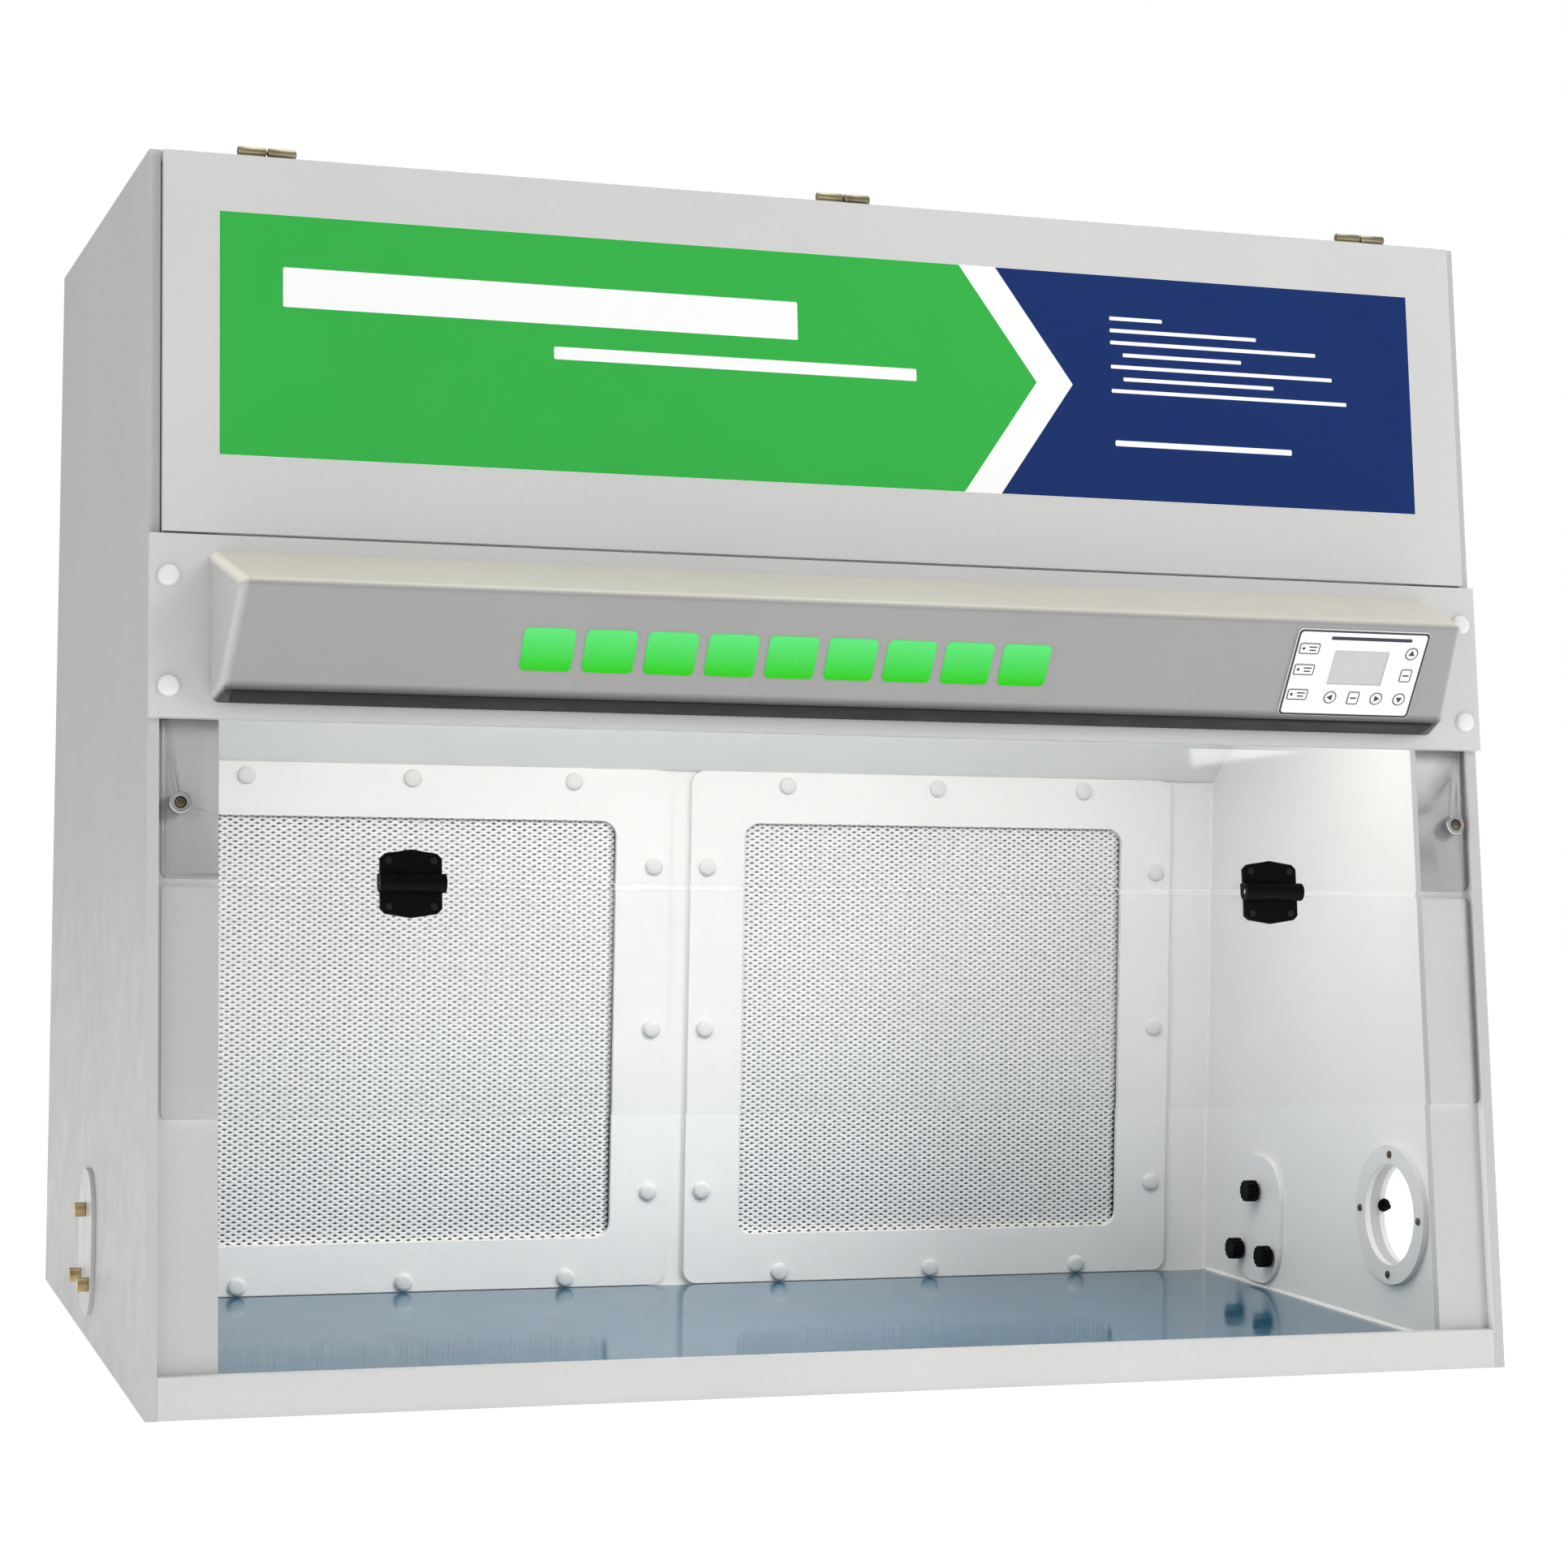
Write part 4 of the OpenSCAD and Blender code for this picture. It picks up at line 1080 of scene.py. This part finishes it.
# %% [markdown]
# The round pass-through in the right wall has a turned ring inside and outside. Four pan-head
# screws hold each ring, and a black thumb screw at its rear edge clamps whatever is led through.
# A pan head is a lathe profile, without the sunk cross of two slots that is its drive.

# %% Port screws
PORT_SCREW_RING = 57.5
HEAD_PROFILE = [(0, -2.2), (2.0, -2.1), (3.2, -1.5), (3.7, -0.5), (3.7, 0.4), (0, 0.4)]
port_low, port_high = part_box("port_rings")
port_y = (port_low.y + port_high.y) / 2
port_z = (port_low.z + port_high.z) / 2
INNER_FACE = Matrix.Rotation(-math.pi / 2, 4, "Z")
OUTER_FACE = Matrix.Rotation(math.pi / 2, 4, "Z")


def port_screws(face_x, turn):
    heads = []
    for quarter in range(4):
        angle = math.radians(90 * quarter)
        spot = Vector((face_x / MM, port_y / MM + PORT_SCREW_RING * math.cos(angle),
                       port_z / MM + PORT_SCREW_RING * math.sin(angle)))
        heads.append(moved(lathe(HEAD_PROFILE, 20), Matrix.Translation(spot) @ turn))
    return heads


screws = port_screws(port_low.x, INNER_FACE) + port_screws(port_high.x, OUTER_FACE)
make("port_screws", joined(screws), dark_screw, "cabinet")

THUMB_PROFILE = [(0, -9), (2.2, -8.6), (3.0, -7.5), (3.0, -1), (5.5, -0.8), (6.5, 1.0), (6.5, 8.0),
                 (5.8, 9.0), (0, 9.0)]
thumb_spot = Vector((port_high.x / MM - 1.0, port_y / MM + 46, port_z / MM + 3))
thumb_turn = Matrix.Translation(thumb_spot) @ Matrix.Rotation(math.radians(4), 4, "X")
make("port_thumb_screw", moved(lathe(THUMB_PROFILE, 24), thumb_turn), black_nylon, "cabinet")
print("port middle", round(port_y, 4), round(port_z, 4))

# %% [markdown]
# The back panel is screwed to the cabinet, so that the fans can be reached. Pan-head screws run
# round its edge at an even pitch, two hands apart.

# %% Back panel screws
back_low, back_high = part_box("back_panel")
BACK_INSET = 22
back_x = back_high.x / MM - BACK_INSET
back_z0 = back_low.z / MM + BACK_INSET
back_z1 = back_high.z / MM - BACK_INSET
REAR_FACE = Matrix.Rotation(math.pi, 4, "Z")
back_spots = [(side * back_x, back_z0 + (back_z1 - back_z0) * i / 4) for side in (-1, 1) for i in range(5)]
back_spots += [(back_x * (i - 2) / 2, z) for i in (1, 2, 3) for z in (back_z0, back_z1)]
back_heads = [moved(lathe(HEAD_PROFILE, 20), Matrix.Translation((x, back_high.y / MM, z)) @ REAR_FACE)
              for x, z in back_spots]
make("back_screws", joined(back_heads), steel, "cabinet")
print(len(back_heads), "back screws")

# %% [markdown]
# The upper pane hangs on one screw at each side. A pale washer spreads the load on the acrylic
# and the dark head sits in its dished middle.

# %% Pane washers and screws
PANE_SCREW_X = 583
pane_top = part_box("sash_screws")[1]
washer_slope = (pane_top.z / MM - 6 * math.cos(LEAN)) / math.cos(LEAN)
WASHER_PROFILE = [(4.2, -2.2), (5.0, -4.4), (8.2, -4.6), (9.0, -3.8), (9.0, 3.4), (4.2, 3.4), (4.2, -2.2)]
SUNK_HEAD = [(0, -4.8), (2.6, -4.7), (4.0, -4.0), (4.1, -3.0), (4.1, 3.4), (0, 3.4)]
washers, heads = [], []
for side in (-1, 1):
    spot = Matrix.Translation((side * PANE_SCREW_X, 0, washer_slope))
    washers.append(moved(lathe(WASHER_PROFILE, 32), spot))
    heads.append(moved(lathe(SUNK_HEAD, 24), spot))
make("pane_washers", joined(washers), steel, "cabinet", FRONT)
make("pane_screw_heads", joined(heads), dark_screw, "cabinet", FRONT)
print("pane screws", round(washer_slope, 1), "mm up the slope")

# %% [markdown]
# The head door turns on three brass butt hinges. Seen from the front only their knuckles show:
# two short barrels end to end, one on the door's leaf and one on the top panel's, with a small
# notch between them. The leaves lie behind, on the door's top edge and on the top panel.

# %% Door hinges
pin_low, pin_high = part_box("door_hinge_pins")
HINGE_HALF = 25
KNUCKLE_R = 4.0
hinge_x = pin_high.x / MM - HINGE_HALF
KNUCKLE = [(0, -11.9), (KNUCKLE_R - 0.7, -11.9), (KNUCKLE_R, -11.2), (KNUCKLE_R, 11.2),
           (KNUCKLE_R - 0.7, 11.9), (0, 11.9)]
ALONG_X = Matrix.Rotation(-math.pi / 2, 4, "Z")
pin_y = (pin_low.y + pin_high.y) / 2 / MM
pin_z = (pin_low.z + pin_high.z) / 2 / MM


def knuckle(x):
    return moved(lathe(KNUCKLE, 28), Matrix.Translation((x, pin_y, pin_z)) @ ALONG_X)


def leaf(x0, x1, y0, y1, z0, z1):
    return moved(prism([(x0, z0), (x1, z0), (x1, z1), (x0, z1)], y0, y1), (0, pin_y, pin_z))


door_side, top_side = [], []
for x in (-hinge_x, 0, hinge_x):
    door_side.append(knuckle(x - 12.6))
    door_side.append(leaf(x - 24, x - 1, -3.4, 0.4, -4.3, -2.9))
    top_side.append(knuckle(x + 12.6))
    top_side.append(leaf(x + 1, x + 24, 0, 6, -3.9, -2.5))
    top_side.append(leaf(x - 25, x + 25, 5, 22, -3.9, -2.5))
door_leaves = make("door_hinge_knuckles", joined(door_side), hinge_brass, "head_door", smooth=50)
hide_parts("door_hinge_flaps")
top_leaves = make("top_hinge_knuckles", joined(top_side), hinge_brass, "cabinet", smooth=50)
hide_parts("door_hinge_tops")

# %% [markdown]
# The cabinet is welded: a rod of the same plastic is melted into every inner corner and leaves a
# low, slightly uneven bead. A quarter-round swept along the joint, its radius drifting by a tenth
# of a millimetre from a fixed wave, looks like the work of a steady hand.

# %% Weld beads
BEAD_R = 2.6
inner_x = outer_x / MM - SHEET_T
deck_low, deck_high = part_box("worktop")
ceiling_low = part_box("chamber_ceiling")[0]


def bead(start, end, side_a, side_b, radius=BEAD_R):
    """A fillet along a corner; side_a and side_b point along the two sheets, away from it."""
    start, end = Vector(start), Vector(end)
    a, b = Vector(side_a), Vector(side_b)
    length = (end - start).length
    count = max(2, int(length / 9))
    arc = 6
    corners, faces = [], []
    for i in range(count + 1):
        spot = start.lerp(end, i / count)
        r = radius * (1 + 0.07 * math.sin(i * 2.1) + 0.05 * math.sin(i * 0.83 + 1))
        corners.append(tuple(spot - (a + b) * 0.3))
        for k in range(arc + 1):
            angle = math.pi / 2 * k / arc
            reach = a * (r * math.cos(angle) ** 1.6) + b * (r * math.sin(angle) ** 1.6)
            corners.append(tuple(spot + reach))
    row = arc + 2
    for i in range(count):
        for k in range(row):
            m = (k + 1) % row
            faces.append((i * row + k, i * row + m, (i + 1) * row + m, (i + 1) * row + k))
    return corners, faces


floor_z = deck_high.z / MM
floor_front = deck_low.y / MM
floor_back = deck_high.y / MM
wall_z = ceiling_low.z / MM
baffle_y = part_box("rear_baffle")[0].y / MM
beads = []
for side in (-1, 1):
    x = side * inner_x
    inward = (-side, 0, 0)
    beads.append(bead((x, floor_front, floor_z), (x, floor_back, floor_z), inward, (0, 0, 1)))
    beads.append(bead((x, baffle_y, floor_z), (x, baffle_y, wall_z), inward, (0, -1, 0)))
SLOPE_BEAD_R = 3.2
corner_y = frame_low.y / MM + 3.5
corner_z = (frame_high.z + ceiling_low.z) / 2 / MM + SLOPE_BEAD_R / 2
beads.append(bead((-inner_x, corner_y, corner_z), (inner_x, corner_y, corner_z),
                  (0, -1, 0), (0, 0, -1), SLOPE_BEAD_R))
make("weld_beads", joined(beads), weld_plastic, "cabinet", smooth=50)
print(len(beads), "beads")

# %% [markdown]
# The sweep under the hood is a plain pale floor. It glows a little, as a lit sweep does, so that
# no horizon shows behind the hood. It is staged, so it isn't part of the object.

# %% Floor
FLOOR_REACH = 14.0
FLOOR_GLOW = 0.56
floor_finish = plastic("studio_floor", (0.88, 0.88, 0.88), 0.6, 0.004, 0.00002, 60, 0.0, shine=0.2)
floor_shader = floor_finish.node_tree.nodes["Principled BSDF"]
floor_shader.inputs["Emission Color"].default_value = (1, 1, 1, 1)
floor_shader.inputs["Emission Strength"].default_value = FLOOR_GLOW
floor_mesh = bpy.data.meshes.new("studio_floor")
floor_corners = [(x * FLOOR_REACH, y * FLOOR_REACH, 0) for x, y in ((-1, -1), (1, -1), (1, 1), (-1, 1))]
floor_mesh.from_pydata(floor_corners, [], [(0, 1, 2, 3)])
floor_mesh.materials.append(floor_finish)
floor = bpy.data.objects.new("studio_floor", floor_mesh)
floor.location.z = -0.0006
scene.collection.objects.link(floor)
